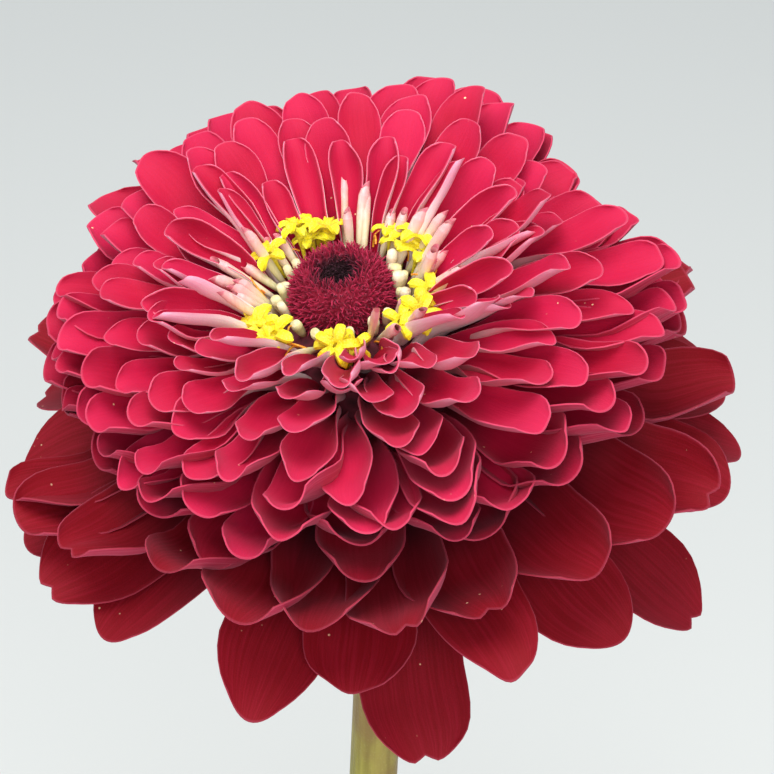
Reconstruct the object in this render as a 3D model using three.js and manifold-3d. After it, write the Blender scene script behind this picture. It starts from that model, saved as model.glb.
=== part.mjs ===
// A potted zinnia: one dahlia-flowered bloom on a leafy stem, growing in a plain clay pot.
// Millimetres, +Z up. The origin is the centre of the pot's foot. The bloom leans towards -Y, its front.

import * as THREE from 'three';
import { mergeVertices } from 'three/addons/utils/BufferGeometryUtils.js';
import Module from 'manifold-3d';

const wasm = await Module();
wasm.setup();

// Driving dimensions

const POT_HEIGHT = 126;
const POT_RIM_RADIUS = 74;
const POT_FOOT_RADIUS = 49;
const POT_WALL = 5;
const POT_BAND_HEIGHT = 27;
const POT_BAND_PROUD = 3.5;
const POT_SIDES = 32;
const DRAIN_HOLE_RADIUS = 4.5;
const DRAIN_HOLE_RING = 27;
const DRAIN_HOLES = 4;

const SOIL_BELOW_RIM = 13;
const SOIL_BUMP = 1.6;
const STEM_HOLE_DEPTH = 26;

const BLOOM_BASE = new THREE.Vector3(2, 4, 288);
const HEAD_LEAN_FRONT = 9;
const HEAD_LEAN_LEFT = 8;
const SKIRT_LEVELLED = 0.85;
const SKIRT_HANG = 16;
const DOME_WIDER = 0.05;

const STEM_FOOT_RADIUS = 4.8;
const STEM_RADIUS = 4.2;
const STEM_NECK_RADIUS = 5.2;
const JOINT_SWELL = 0.5;
const JOINT_HALF_HEIGHT = 5;

const RECEPTACLE_TOP = 37;
const INVOLUCRE_HEIGHT = 9.2;
const INVOLUCRE_RADIUS = 15;
const PETAL_THICKNESS = 0.62;
const PETAL_SUNK = 4.5;
const LEAF_THICKNESS = 0.8;
const GAP = 0.3;

const SOIL_LEVEL = POT_HEIGHT - SOIL_BELOW_RIM;
const GOLDEN_TURN = Math.PI * (3 - Math.sqrt(5));

// Small helpers

const radians = THREE.MathUtils.degToRad;
const mix = THREE.MathUtils.lerp;
const ease = THREE.MathUtils.smoothstep;

// A repeatable draw from -1 to 1 for piece number index; each use has a salt of its own.
function shake(index, salt) {
  const wild = Math.sin(index * 12.9898 + salt * 78.233) * 43758.5453;
  return 2 * (wild - Math.floor(wild)) - 1;
}

// Reads a value off a list of evenly spaced stations, t running from 0 at the first to 1 at the last.
function along(stations, t) {
  const place = THREE.MathUtils.clamp(t, 0, 1) * (stations.length - 1);
  const low = Math.min(Math.floor(place), stations.length - 2);
  return mix(stations[low], stations[low + 1], place - low);
}

// A closed mesh from points and triangles, turned the right way out if it came out inside out.
function closedMesh(points, triangles) {
  const cross = new THREE.Vector3();
  const volume = triangles.reduce((sum, [a, b, c]) => {
    return sum + points[a].dot(cross.crossVectors(points[b], points[c]));
  }, 0);
  const order = volume < 0 ? triangles.map(([a, b, c]) => [a, c, b]) : triangles;
  const geometry = new THREE.BufferGeometry();
  geometry.setFromPoints(points);
  geometry.setIndex(order.flat());
  return geometry;
}

// Fills the strip between two rows of vertices, which may hold different numbers of them.
function stitch(low, high) {
  const triangles = [];
  let i = 0;
  let j = 0;
  while (i < low.length - 1 || j < high.length - 1) {
    const lowNext = (i + 1) / Math.max(1, low.length - 1);
    const highNext = (j + 1) / Math.max(1, high.length - 1);
    if (j === high.length - 1 || (i < low.length - 1 && lowNext <= highNext)) {
      triangles.push([low[i], low[i + 1], high[j]]);
      i += 1;
    } else {
      triangles.push([low[i], high[j + 1], high[j]]);
      j += 1;
    }
  }
  return triangles;
}

// A thin blade with an even thickness. surface(u, v) gives its middle face, with u from -1 to 1 across and
// v from 0 to 1 along. Each row is [v, columns], and both faces are split into the same triangles.
function blade(surface, rows, thickness) {
  const step = 0.01;
  const points = [];
  const faces = [[], []];
  rows.forEach(([v, columns]) => {
    const row = [[], []];
    for (let k = 0; k < columns; k += 1) {
      const u = columns === 1 ? 0 : mix(-1, 1, k / (columns - 1));
      const here = surface(u, v);
      const across = surface(Math.min(u + step, 1), v).sub(surface(Math.max(u - step, -1), v));
      const lengthwise = surface(u, Math.min(v + step, 1)).sub(surface(u, Math.max(v - step, 0)));
      const normal = across.cross(lengthwise).normalize().multiplyScalar(thickness / 2);
      [1, -1].forEach((side, face) => {
        row[face].push(points.length);
        points.push(here.clone().addScaledVector(normal, side));
      });
    }
    faces[0].push(row[0]);
    faces[1].push(row[1]);
  });
  const triangles = [];
  for (let r = 0; r < rows.length - 1; r += 1) {
    triangles.push(...stitch(faces[0][r], faces[0][r + 1]));
    triangles.push(...stitch(faces[1][r], faces[1][r + 1]).map(([a, b, c]) => [a, c, b]));
  }
  const rims = faces.map((face) => {
    const last = face.length - 1;
    const right = face.slice(1, last).map((row) => row[row.length - 1]);
    const left = face.slice(1, last).map((row) => row[0]).reverse();
    return [...face[0], ...right, ...face[last].slice().reverse(), ...left];
  });
  rims[0].forEach((top, k) => {
    const next = (k + 1) % rims[0].length;
    triangles.push([top, rims[1][k], rims[1][next]]);
    triangles.push([top, rims[1][next], rims[0][next]]);
  });
  return closedMesh(points, triangles);
}

// A closed body skinned over rings of points, all with the same count, and capped at both ends.
function loft(rings) {
  const count = rings[0].length;
  const points = rings.flat();
  const triangles = [];
  for (let r = 0; r < rings.length - 1; r += 1) {
    for (let k = 0; k < count; k += 1) {
      const a = r * count + k;
      const b = r * count + ((k + 1) % count);
      triangles.push([a, b, b + count]);
      triangles.push([a, b + count, a + count]);
    }
  }
  const top = (rings.length - 1) * count;
  for (let k = 1; k < count - 1; k += 1) {
    triangles.push([0, k + 1, k]);
    triangles.push([top, top + k, top + k + 1]);
  }
  return closedMesh(points, triangles);
}

// A ring of points round a straight axis, at a height along it.
function ring(radius, height, sides, turn = 0) {
  return Array.from({ length: sides }, (_, k) => {
    const angle = turn + (k * 2 * Math.PI) / sides;
    return new THREE.Vector3(radius * Math.cos(angle), radius * Math.sin(angle), height);
  });
}

function toSolid(geometry, matrix = new THREE.Matrix4()) {
  const bare = new THREE.BufferGeometry();
  bare.setAttribute('position', geometry.getAttribute('position').clone());
  bare.setIndex(geometry.index);
  bare.applyMatrix4(matrix);
  const merged = mergeVertices(bare, 1e-4);
  return new wasm.Manifold(new wasm.Mesh({
    numProp: 3,
    vertProperties: merged.attributes.position.array,
    triVerts: new Uint32Array(merged.index.array),
  }));
}

function toGeometry(solid) {
  const mesh = solid.getMesh();
  const geometry = new THREE.BufferGeometry();
  geometry.setAttribute('position', new THREE.BufferAttribute(Float32Array.from(mesh.vertProperties), 3));
  geometry.setIndex(new THREE.BufferAttribute(Uint32Array.from(mesh.triVerts), 1));
  return geometry.toNonIndexed();
}

// A solid turned about +Z from the outline of its half section, as [radius, height] points.
function turnedSolid(outline, sides, matrix = new THREE.Matrix4()) {
  const section = outline.map(([radius, height]) => new THREE.Vector2(radius, height));
  const upright = new THREE.Matrix4().makeRotationX(Math.PI / 2);
  return toSolid(new THREE.LatheGeometry(section, sides), matrix.clone().multiply(upright));
}

function fuse(solids) {
  return solids.reduce((whole, next) => whole.add(next));
}

// The largest body of a solid: a cut can leave a loose scrap beside it.
function mainBody(solid) {
  return solid.decompose().sort((a, b) => b.volume() - a.volume())[0];
}

function namedMesh(name, geometry, material) {
  const mesh = new THREE.Mesh(geometry, material);
  mesh.name = name;
  return mesh;
}

// Places a piece out from the axis at a radius and a height, facing away at an angle round it.
function outFrom(angle, radius, height, yaw = 0, roll = 0) {
  const matrix = new THREE.Matrix4().makeRotationZ(angle);
  matrix.multiply(new THREE.Matrix4().makeTranslation(radius, 0, height));
  matrix.multiply(new THREE.Matrix4().makeRotationZ(yaw));
  matrix.multiply(new THREE.Matrix4().makeRotationX(roll));
  return matrix;
}

// Materials

const clay = new THREE.MeshStandardMaterial({ color: 0xb5673f, roughness: 0.85, metalness: 0 });
const peat = new THREE.MeshStandardMaterial({ color: 0x2c1e16, roughness: 0.95, metalness: 0 });
const stemGreen = new THREE.MeshStandardMaterial({ color: 0x8f9a4f, roughness: 0.6, metalness: 0 });
const leafGreen = new THREE.MeshStandardMaterial({ color: 0x4f7a2b, roughness: 0.55, metalness: 0 });
const crimson = new THREE.MeshStandardMaterial({ color: 0xc01838, roughness: 0.6, metalness: 0 });
const creamPink = new THREE.MeshStandardMaterial({ color: 0xe8b8a0, roughness: 0.5, metalness: 0 });
const yellow = new THREE.MeshStandardMaterial({ color: 0xf4d90c, roughness: 0.5, metalness: 0 });
const darkCrimson = new THREE.MeshStandardMaterial({ color: 0x6a0c20, roughness: 0.8, metalness: 0 });

// The pot: a turned clay pot with a band at the rim and drain holes round the middle of its floor

function potWallRadius(height) {
  const bandStart = POT_HEIGHT - POT_BAND_HEIGHT;
  const bodyTop = POT_RIM_RADIUS - POT_BAND_PROUD;
  return mix(POT_FOOT_RADIUS, bodyTop, Math.min(height, bandStart) / bandStart);
}

function potInsideRadius(height) {
  return potWallRadius(height) - POT_WALL;
}

function potSolid() {
  const bandStart = POT_HEIGHT - POT_BAND_HEIGHT;
  const bodyTop = potWallRadius(bandStart);
  const lip = 1.5;
  const outline = [
    [0, 0],
    [POT_FOOT_RADIUS - lip, 0],
    [POT_FOOT_RADIUS, lip],
    [bodyTop, bandStart],
    [bodyTop + POT_BAND_PROUD - 1, bandStart + 1],
    [POT_RIM_RADIUS, POT_HEIGHT - lip],
    [POT_RIM_RADIUS - lip, POT_HEIGHT],
    [POT_RIM_RADIUS - POT_WALL, POT_HEIGHT],
    [POT_RIM_RADIUS - POT_WALL - lip, POT_HEIGHT - lip],
    [potInsideRadius(bandStart), bandStart],
    [potInsideRadius(POT_WALL + 2), POT_WALL + 2],
    [potInsideRadius(POT_WALL + 2) - 2, POT_WALL],
    [0, POT_WALL],
  ];
  const drill = [ring(DRAIN_HOLE_RADIUS, -POT_WALL, 10), ring(DRAIN_HOLE_RADIUS, 2 * POT_WALL, 10)];
  const holes = Array.from({ length: DRAIN_HOLES }, (_, k) => {
    const turn = (k + 0.5) * ((2 * Math.PI) / DRAIN_HOLES);
    return toSolid(loft(drill), outFrom(turn, DRAIN_HOLE_RING, 0));
  });
  return turnedSolid(outline, POT_SIDES).subtract(fuse(holes));
}

// The soil: a plug that fills the pot to below its rim, its top lumpy by a formula

function soilSurface(angle, share) {
  const slow = Math.sin(3 * angle + 1) * Math.cos(5 * share) + Math.sin(5 * angle) * share;
  const quick = Math.sin(11 * angle + 9 * share) * 0.5 + Math.cos(7 * angle - 13 * share) * 0.5;
  const towardsWall = Math.sin(Math.PI * Math.min(share + 0.12, 1));
  return SOIL_LEVEL + SOIL_BUMP * 0.5 * (slow + quick) * towardsWall;
}

function soilSolid(stemHole) {
  const sides = 26;
  const room = (height) => potInsideRadius(height) - GAP - 0.4;
  const topRadius = room(SOIL_LEVEL - 2);
  const floor = POT_WALL + GAP;
  const level = (radius, height) => ring(radius, height, sides);
  const top = [1, 0.8, 0.58, 0.34].map((share) => {
    return ring(topRadius * share, 0, sides).map((point) => {
      const angle = Math.atan2(point.y, point.x);
      return point.setZ(soilSurface(angle, share));
    });
  });
  const body = loft([level(room(floor) - 3, floor), level(room(floor + 4), floor + 4), ...top]);
  return toSolid(body).subtract(stemHole);
}

// The frame of the head: it leans to the front and to the left, about the top of the stem

const headFrame = new THREE.Matrix4().setPosition(BLOOM_BASE);
headFrame.multiply(new THREE.Matrix4().makeRotationX(radians(HEAD_LEAN_FRONT)));
headFrame.multiply(new THREE.Matrix4().makeRotationY(radians(-HEAD_LEAN_LEFT)));

// The stem: rises out of the soil, thickens at each leaf joint and swells under the head

const LEAF_JOINTS = [10, 33, 55, 78].map((above) => SOIL_LEVEL + above);

const stemLine = new THREE.CatmullRomCurve3([
  new THREE.Vector3(0, 0, SOIL_LEVEL - STEM_HOLE_DEPTH + GAP),
  new THREE.Vector3(0, 0, SOIL_LEVEL),
  new THREE.Vector3(-1.5, 2, SOIL_LEVEL + 45),
  new THREE.Vector3(0.5, 4.5, SOIL_LEVEL + 95),
  new THREE.Vector3(2.4, 6.5, BLOOM_BASE.z - 30),
  BLOOM_BASE.clone(),
]);

// The point of the stem's middle line at a height.
function stemAt(height) {
  let low = 0;
  let high = 1;
  for (let k = 0; k < 24; k += 1) {
    const middle = (low + high) / 2;
    if (stemLine.getPoint(middle).z < height) {
      low = middle;
    } else {
      high = middle;
    }
  }
  return stemLine.getPoint((low + high) / 2);
}

function stemRadius(height) {
  const low = mix(STEM_FOOT_RADIUS, STEM_RADIUS, ease(height, SOIL_LEVEL - 20, SOIL_LEVEL + 60));
  const plain = mix(low, STEM_NECK_RADIUS, ease(height, BLOOM_BASE.z - 42, BLOOM_BASE.z));
  const nearest = Math.min(...LEAF_JOINTS.map((joint) => Math.abs(height - joint)));
  return plain + JOINT_SWELL * Math.max(0, 1 - nearest / JOINT_HALF_HEIGHT);
}

// The stem, or the room that it needs when grown by a margin.
function stemSolid(grown = 0) {
  const sides = 10;
  const heights = [SOIL_LEVEL - STEM_HOLE_DEPTH + GAP, SOIL_LEVEL];
  LEAF_JOINTS.forEach((joint) => {
    heights.push(joint - JOINT_HALF_HEIGHT, joint, joint + JOINT_HALF_HEIGHT);
  });
  [42, 28, 14, 5].forEach((below) => heights.push(BLOOM_BASE.z - below));
  const rings = heights.map((height) => {
    const centre = stemAt(height);
    const radius = stemRadius(height) + grown;
    return ring(radius, 0, sides).map((point) => point.add(centre));
  });
  rings.push(ring(STEM_NECK_RADIUS + grown, -GAP, sides).map((point) => point.applyMatrix4(headFrame)));
  return toSolid(loft(rings));
}

// A petal: a narrow claw that opens to a broad spoon with a round or notched tip.
// rise is the angle it leaves at, bend how far it turns by its tip, and cup the half angle of its trough.
function petal({ length, width, rise, bend, cup, notch = 0 }) {
  const broadest = 0.66;
  const halfWidth = (v) => {
    if (v < broadest) return (width / 2) * mix(0.42, 1, ease(v, 0, broadest));
    return (width / 2) * Math.sqrt(1 - 0.8 * ((v - broadest) / (1 - broadest)) ** 2);
  };
  const surface = (u, v) => {
    const reach = v - notch * (1 - Math.abs(u)) * ease(v, 0.8, 1);
    const angle = rise + bend * reach;
    const radius = length / bend;
    const x = radius * (Math.sin(angle) - Math.sin(rise));
    const z = radius * (Math.cos(rise) - Math.cos(angle));
    const trough = cup * mix(1, 0.6, ease(v, 0.55, 1));
    const half = halfWidth(v) / trough;
    const side = half * Math.sin(trough * u);
    const lift = half * (1 - Math.cos(trough * u));
    return new THREE.Vector3(x - lift * Math.sin(angle), side, z + lift * Math.cos(angle));
  };
  return surface;
}

const PLAIN_TIP_ROWS = [[0, 2], [0.52, 3], [0.82, 3], [1, 2]];
const NOTCHED_TIP_ROWS = [[0, 2], [0.52, 3], [0.82, 3], [1, 3]];
const NOTCH_DEPTH = 0.09;

// The skirt: older, longer petals below the dome, in two storeys. Stations run from the lowest up.
const SKIRT = {
  count: 31,
  rootRadius: [17.5, 22.5],
  rootHeight: [12, 19.5],
  rise: [3, 13],
  bend: [-32, -38],
  length: [44, 32],
  width: [18, 17],
  cup: [28, 50],
};

// The dome: cupped petals from its lower edge up to the disc.
const DOME = {
  count: 87,
  rootRadius: [22.5, 22.5, 20.5, 17.8, 14.8],
  rootHeight: [22.8, 27, 31, 34.2, 36.3],
  rise: [24, 34, 45, 56, 62],
  bend: [-38, -42, -52, -50, -38],
  length: [25, 29.5, 29.5, 23, 13],
  width: [16, 16, 14.5, 12, 8.5],
  cup: [46, 46, 44, 48, 58],
};

// How much higher a petal must rise, at an angle round the head, to make up for the lean of the head.
function levelling(turn) {
  const front = HEAD_LEAN_FRONT * Math.sin(-turn);
  const left = HEAD_LEAN_LEFT * -Math.cos(turn);
  return SKIRT_LEVELLED * (front + left);
}

function petalRing(plan, salt) {
  return Array.from({ length: plan.count }, (_, k) => {
    const t = (k + 0.5) / plan.count;
    const draw = (slot) => shake(k, salt + slot);
    const inSkirt = plan === SKIRT;
    const notched = inSkirt && k % 3 === 0;
    const turn = k * GOLDEN_TURN + 0.05 * draw(5);
    const level = inSkirt ? levelling(turn) - SKIRT_HANG * (1 - t) * Math.max(0, -Math.sin(turn)) ** 2 : 0;
    const rise = radians(along(plan.rise, t) + 2 * draw(3) + level);
    const uneven = inSkirt ? 0 : DOME_WIDER * Math.cos(2 * turn);
    const shape = petal({
      length: along(plan.length, t) * (1 + 0.05 * draw(1) + uneven) + PETAL_SUNK,
      width: along(plan.width, t) * (1 + 0.06 * draw(2)),
      rise,
      bend: radians(along(plan.bend, t) + 4 * draw(4)),
      cup: radians(along(plan.cup, t)),
      notch: notched ? NOTCH_DEPTH : 0,
    });
    const rows = notched ? NOTCHED_TIP_ROWS : PLAIN_TIP_ROWS;
    const radius = along(plan.rootRadius, t) - PETAL_SUNK * Math.cos(rise);
    const height = along(plan.rootHeight, t) - PETAL_SUNK * Math.sin(rise);
    const place = outFrom(turn, radius, height, 0.07 * draw(6), 0.1 * draw(7));
    return toSolid(blade(shape, rows, PETAL_THICKNESS), headFrame.clone().multiply(place));
  });
}

// The core that the petals stand out of: the packed petal bases and the receptacle inside them.
function headCore() {
  const bottom = INVOLUCRE_HEIGHT + 0.4;
  const top = RECEPTACLE_TOP - 0.6;
  const bulge = [[14, bottom], [18, 12.5], [21.5, 17.5], [23, 24], [21.5, 29.6], [18, 34], [14, top]];
  return turnedSolid([[0, bottom], ...bulge, [0, top]], 20, headFrame);
}

// The involucre: the green cup under the head, its bracts in overlapping rows raised by a formula

function involucreGeometry() {
  const rows = 4;
  const bracts = 12;
  const steps = 3;
  const sides = bracts * 4;
  const cup = (share) => {
    const flare = Math.sin((Math.PI / 2) * Math.min(1, share * 1.05));
    return mix(STEM_NECK_RADIUS + 0.6, INVOLUCRE_RADIUS, flare);
  };
  const rings = [];
  for (let k = 0; k <= rows * steps; k += 1) {
    const share = k / (rows * steps);
    rings.push(ring(1, INVOLUCRE_HEIGHT * share, sides).map((point) => {
      const around = (Math.atan2(point.y, point.x) / (2 * Math.PI)) * bracts;
      const relief = Math.max(...[0, 1].map((layer) => {
        const row = share * rows + layer;
        const offset = Math.abs(((around + (Math.floor(row) % 2) / 2) % 1 + 1) % 1 - 0.5) * 2;
        const climb = (row % 1 + layer) / 2;
        return offset < Math.sqrt(Math.max(0, 1 - climb ** 3)) ? 0.1 + 1.5 * climb : 0;
      }));
      const radius = cup(share) + (k === 0 || k === rows * steps ? 0 : relief);
      return point.set(point.x * radius, point.y * radius, point.z);
    }));
  }
  return loft(rings);
}

// The disc cone: a button of packed bract tips on a spiral, raised by a formula, with a hollow in its top

function coneGeometry() {
  const sides = 26;
  const outline = [
    [8.6, 0.3], [8.9, 2.6], [8.5, 5.2], [7.2, 7.7], [5.4, 9.2], [3.6, 9.4], [2.3, 8.0], [1.2, 6.2],
  ];
  const rings = outline.map(([radius, height], k) => {
    const rim = k === 0 || k === outline.length - 1;
    return ring(radius, RECEPTACLE_TOP + height, sides, (k % 2) * (Math.PI / sides)).map((point, j) => {
      const tip = rim ? 0 : 0.45 * ((j + (k % 4 < 2 ? 0 : 1)) % 2);
      const stretch = 1 + tip / radius;
      return point.set(point.x * stretch, point.y * stretch, point.z + tip * 0.6);
    });
  });
  return loft(rings);
}

// Young rays: rolled tubes, open at the mouth, on a ring round the cone. The smallest are closed buds.

const COLLAR_SIDES = 20;
const RAY_RING = { inner: 9.3, outer: 11.1, low: 0.3, high: 1.8 };
const RAY_COUNT = 26;

// The thin ring that florets of one kind stand on, above the receptacle.
function collar({ inner, outer, low, high }) {
  const corners = [[inner, low], [outer, low], [outer, high], [inner, high], [inner, low]];
  return turnedSolid(corners.map(([x, y]) => [x, RECEPTACLE_TOP + y]), COLLAR_SIDES);
}

function rayTube(length, radius, mouth, sides = 6) {
  const rings = [ring(radius * 0.7, 0, sides), ring(radius, length, sides)];
  if (mouth) {
    rings.push(ring(radius * 0.5, length, sides), ring(radius * 0.42, length - 2 * radius, sides));
  }
  return loft(rings);
}

function leanOut(angle, radius, tilt, sway = 0) {
  const matrix = outFrom(angle, radius, RECEPTACLE_TOP + 0.9);
  matrix.multiply(new THREE.Matrix4().makeRotationX(sway));
  return matrix.multiply(new THREE.Matrix4().makeRotationY(tilt));
}

function youngRays(grown = 0) {
  const tubes = Array.from({ length: RAY_COUNT }, (_, k) => {
    const bud = k % 3 === 1;
    const length = bud ? 4.2 + 0.8 * shake(k, 31) : 9 + 3 * shake(k, 32);
    const radius = (bud ? 0.85 : 1.25 + 0.15 * shake(k, 33)) + grown;
    const turn = ((k + 0.2 * shake(k, 34)) * 2 * Math.PI) / RAY_COUNT;
    const tilt = radians(bud ? 16 : 42 + 9 * shake(k, 35));
    const place = leanOut(turn, bud ? 9.9 : 10.2, tilt);
    return toSolid(rayTube(length + grown, radius, !bud && grown === 0), place);
  });
  return fuse([collar(RAY_RING), ...tubes]);
}

// Disc florets: small yellow stars with five turned-down lobes, in clumps on the outer ring

const FLORET_RING = { inner: 11.4, outer: 13, low: 0.3, high: 1.6 };
const FLORET_ANGLES = [30, 50, 70, 98, 116, 134, 152, 206, 222, 238, 256, 282, 306, 334, 2];

function floretStar() {
  const lobes = 5;
  const outline = Array.from({ length: 2 * lobes }, (_, k) => {
    const radius = k % 2 ? 0.95 : 2.8;
    const angle = (k * Math.PI) / lobes;
    return new THREE.Vector2(radius * Math.cos(angle), radius * Math.sin(angle));
  });
  const plate = new THREE.ExtrudeGeometry(new THREE.Shape(outline), { depth: 0.7, bevelEnabled: false });
  const position = plate.getAttribute('position');
  for (let k = 0; k < position.count; k += 1) {
    const reach = Math.hypot(position.getX(k), position.getY(k));
    position.setZ(k, position.getZ(k) - 0.3 * Math.max(0, reach - 0.9));
  }
  plate.deleteAttribute('normal');
  plate.deleteAttribute('uv');
  return mergeVertices(plate, 1e-4);
}

function discFlorets() {
  const star = floretStar();
  const pieces = FLORET_ANGLES.flatMap((degrees, k) => {
    const height = 4.6 + 0.8 * shake(k, 41);
    const place = leanOut(radians(degrees), 12.2, radians(24 + 8 * shake(k, 42)), 0.2 * shake(k, 43));
    const lifted = place.clone().multiply(new THREE.Matrix4().makeTranslation(0, 0, height));
    lifted.multiply(new THREE.Matrix4().makeRotationZ(shake(k, 44)));
    return [toSolid(rayTube(height + 0.3, 0.8, false, 4), place), toSolid(star, lifted)];
  });
  return fuse([collar(FLORET_RING), ...pieces]);
}

// Leaves: sessile, ovate and pointed, folded a little along the midrib, waved at the margin

function leafSurface({ length, width, rise, bend, fold, wave, phase }) {
  return (u, v) => {
    const half = (width / 2) * Math.sin(Math.PI * (0.1 + 0.9 * v) ** 0.8);
    const angle = rise + bend * v;
    const radius = length / bend;
    const x = radius * (Math.sin(angle) - Math.sin(rise));
    const z = radius * (Math.cos(rise) - Math.cos(angle));
    const ripple = wave * Math.sin(5.2 * v + phase + (u > 0 ? 0 : 1.4)) * u * u * Math.sin(Math.PI * v);
    const side = half * u * Math.cos(fold);
    const lift = half * Math.abs(u) * Math.sin(fold) + ripple;
    return new THREE.Vector3(x - lift * Math.sin(angle), side, z + lift * Math.cos(angle));
  };
}

const LEAF_ROWS = [[0, 3], [0.1, 5], [0.26, 5], [0.44, 5], [0.62, 5], [0.8, 5], [0.99, 2]];
const SMALL_LEAF_ROWS = [[0, 2], [0.28, 3], [0.66, 3], [0.98, 2]];

const LEAF_PAIRS = [
  { joint: 0, turn: 102, length: 84, width: 40, rise: 22, bend: -46 },
  { joint: 1, turn: 14, length: 98, width: 44, rise: 30, bend: -58 },
  { joint: 2, turn: 106, length: 80, width: 36, rise: 24, bend: -54 },
  { joint: 3, turn: 12, length: 64, width: 28, rise: 34, bend: -60 },
];

function leafSolid(pair, side, index, stemRoom) {
  const draw = (salt) => shake(index, salt);
  const shape = leafSurface({
    length: pair.length * (1 + 0.05 * draw(51)),
    width: pair.width * (1 + 0.05 * draw(52)),
    rise: radians(pair.rise + 4 * draw(53)),
    bend: radians(pair.bend + 8 * draw(54)),
    fold: radians(13 + 4 * draw(55)),
    wave: 3.2,
    phase: 2 * draw(56),
  });
  const height = LEAF_JOINTS[pair.joint];
  const centre = stemAt(height);
  const turn = radians(pair.turn + side * 180 + 5 * draw(57));
  const place = new THREE.Matrix4().makeTranslation(centre.x, centre.y, 0);
  place.multiply(outFrom(turn, 2.6, height, 0, 0.12 * draw(58)));
  return mainBody(toSolid(blade(shape, LEAF_ROWS, LEAF_THICKNESS), place).subtract(stemRoom));
}

// Side shoots: a short stalk with a pair of small leaves and a growing tip, in the angle above a leaf

const SHOOTS = [
  { joint: 0, turn: 102, stalk: 16, leaf: 36 },
  { joint: 0, turn: 282, stalk: 14, leaf: 32 },
  { joint: 1, turn: 14, stalk: 18, leaf: 38 },
  { joint: 1, turn: 194, stalk: 15, leaf: 33 },
];

function shootSolid(shoot, index, stemRoom) {
  const stalk = rayTube(shoot.stalk, 1.7, false, 5);
  const leaves = [-1, 1].map((side) => {
    const shape = leafSurface({
      length: shoot.leaf * (1 + 0.08 * side),
      width: shoot.leaf * 0.42,
      rise: radians(48),
      bend: radians(-60),
      fold: radians(16),
      wave: 1,
      phase: index,
    });
    const place = new THREE.Matrix4().makeTranslation(0, 0, shoot.stalk - 2);
    place.multiply(outFrom((side * Math.PI) / 2, 0.2, 0));
    return toSolid(blade(shape, SMALL_LEAF_ROWS, LEAF_THICKNESS), place);
  });
  const tip = toSolid(
    new THREE.SphereGeometry(2.4, 6, 4),
    new THREE.Matrix4().makeTranslation(0, 0, shoot.stalk + 0.8),
  );
  const height = LEAF_JOINTS[shoot.joint] + 7;
  const centre = stemAt(height);
  const place = new THREE.Matrix4().makeTranslation(centre.x, centre.y, 0);
  place.multiply(outFrom(radians(shoot.turn), 2, height));
  place.multiply(new THREE.Matrix4().makeRotationY(radians(46)));
  const upright = fuse([toSolid(stalk), ...leaves, tip]);
  return mainBody(upright.transform(place.elements).subtract(stemRoom));
}

// The whole plant in its pot

function build() {
  const plant = new THREE.Group();
  const stemRoom = stemSolid(GAP);
  const rays = mainBody(youngRays());
  const rayRoom = youngRays(GAP);
  const florets = mainBody(discFlorets().subtract(rayRoom));
  const centreRoom = fuse([rays, florets]).transform(headFrame.elements);
  const petals = fuse([headCore(), ...petalRing(SKIRT, 60), ...petalRing(DOME, 70)]);

  plant.add(namedMesh('pot', toGeometry(potSolid()), clay));
  plant.add(namedMesh('soil', toGeometry(soilSolid(stemRoom)), peat));
  plant.add(namedMesh('stem', toGeometry(stemSolid()), stemGreen));
  LEAF_PAIRS.forEach((pair, p) => {
    [0, 1].forEach((side) => {
      const name = `leaf_${p + 1}${side ? 'b' : 'a'}`;
      const leaf = leafSolid(pair, side, 2 * p + side, stemRoom);
      plant.add(namedMesh(name, toGeometry(leaf), leafGreen));
    });
  });
  SHOOTS.forEach((shoot, k) => {
    const leafy = shootSolid(shoot, k, stemRoom);
    plant.add(namedMesh(`side_shoot_${k + 1}`, toGeometry(leafy), leafGreen));
  });

  plant.add(namedMesh('petals', toGeometry(mainBody(petals.subtract(centreRoom))), crimson));
  const head = new THREE.Group();
  head.applyMatrix4(headFrame);
  head.add(namedMesh('involucre', involucreGeometry(), leafGreen));
  head.add(namedMesh('disc_cone', coneGeometry(), darkCrimson));
  head.add(namedMesh('young_rays', toGeometry(rays), creamPink));
  head.add(namedMesh('disc_florets', toGeometry(florets), yellow));
  plant.add(head);
  return plant;
}

export default build();
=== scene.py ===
# %% [markdown]
# A potted zinnia: one double crimson bloom on a leafy stem, growing in a clay pot.
# The CAD model gives the places and sizes. This file dresses it: every leaf, petal and floret is
# modelled again with soft edges and real numbers of pieces, and gets a finish made of shader nodes.

# %% Load the frame
import math
import random
from contextlib import contextmanager

import bmesh
import bpy
from mathutils import Matrix, Vector


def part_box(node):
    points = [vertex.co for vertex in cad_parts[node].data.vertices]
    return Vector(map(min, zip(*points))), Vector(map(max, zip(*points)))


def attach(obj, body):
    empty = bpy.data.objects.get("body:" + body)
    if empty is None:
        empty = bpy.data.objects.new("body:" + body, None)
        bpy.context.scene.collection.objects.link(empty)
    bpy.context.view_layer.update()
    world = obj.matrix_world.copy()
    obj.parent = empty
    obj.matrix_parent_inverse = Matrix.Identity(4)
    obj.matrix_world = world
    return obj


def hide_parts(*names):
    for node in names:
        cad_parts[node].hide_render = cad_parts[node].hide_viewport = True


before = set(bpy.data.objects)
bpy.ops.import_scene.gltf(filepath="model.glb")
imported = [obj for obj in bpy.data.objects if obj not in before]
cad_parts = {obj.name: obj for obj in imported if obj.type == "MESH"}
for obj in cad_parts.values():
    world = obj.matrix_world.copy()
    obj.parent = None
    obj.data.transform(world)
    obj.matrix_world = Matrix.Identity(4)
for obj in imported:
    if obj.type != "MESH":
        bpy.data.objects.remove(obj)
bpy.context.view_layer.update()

MM = 0.001
GOLDEN_TURN = math.pi * (3 - math.sqrt(5))
print("CAD nodes:", len(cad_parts))

# %% [markdown]
# The head of the flower leans to the front and to the left on top of the stem. These values are the
# ones that the CAD model was built from, so that each petal leaves the head where its solid does.

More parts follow.
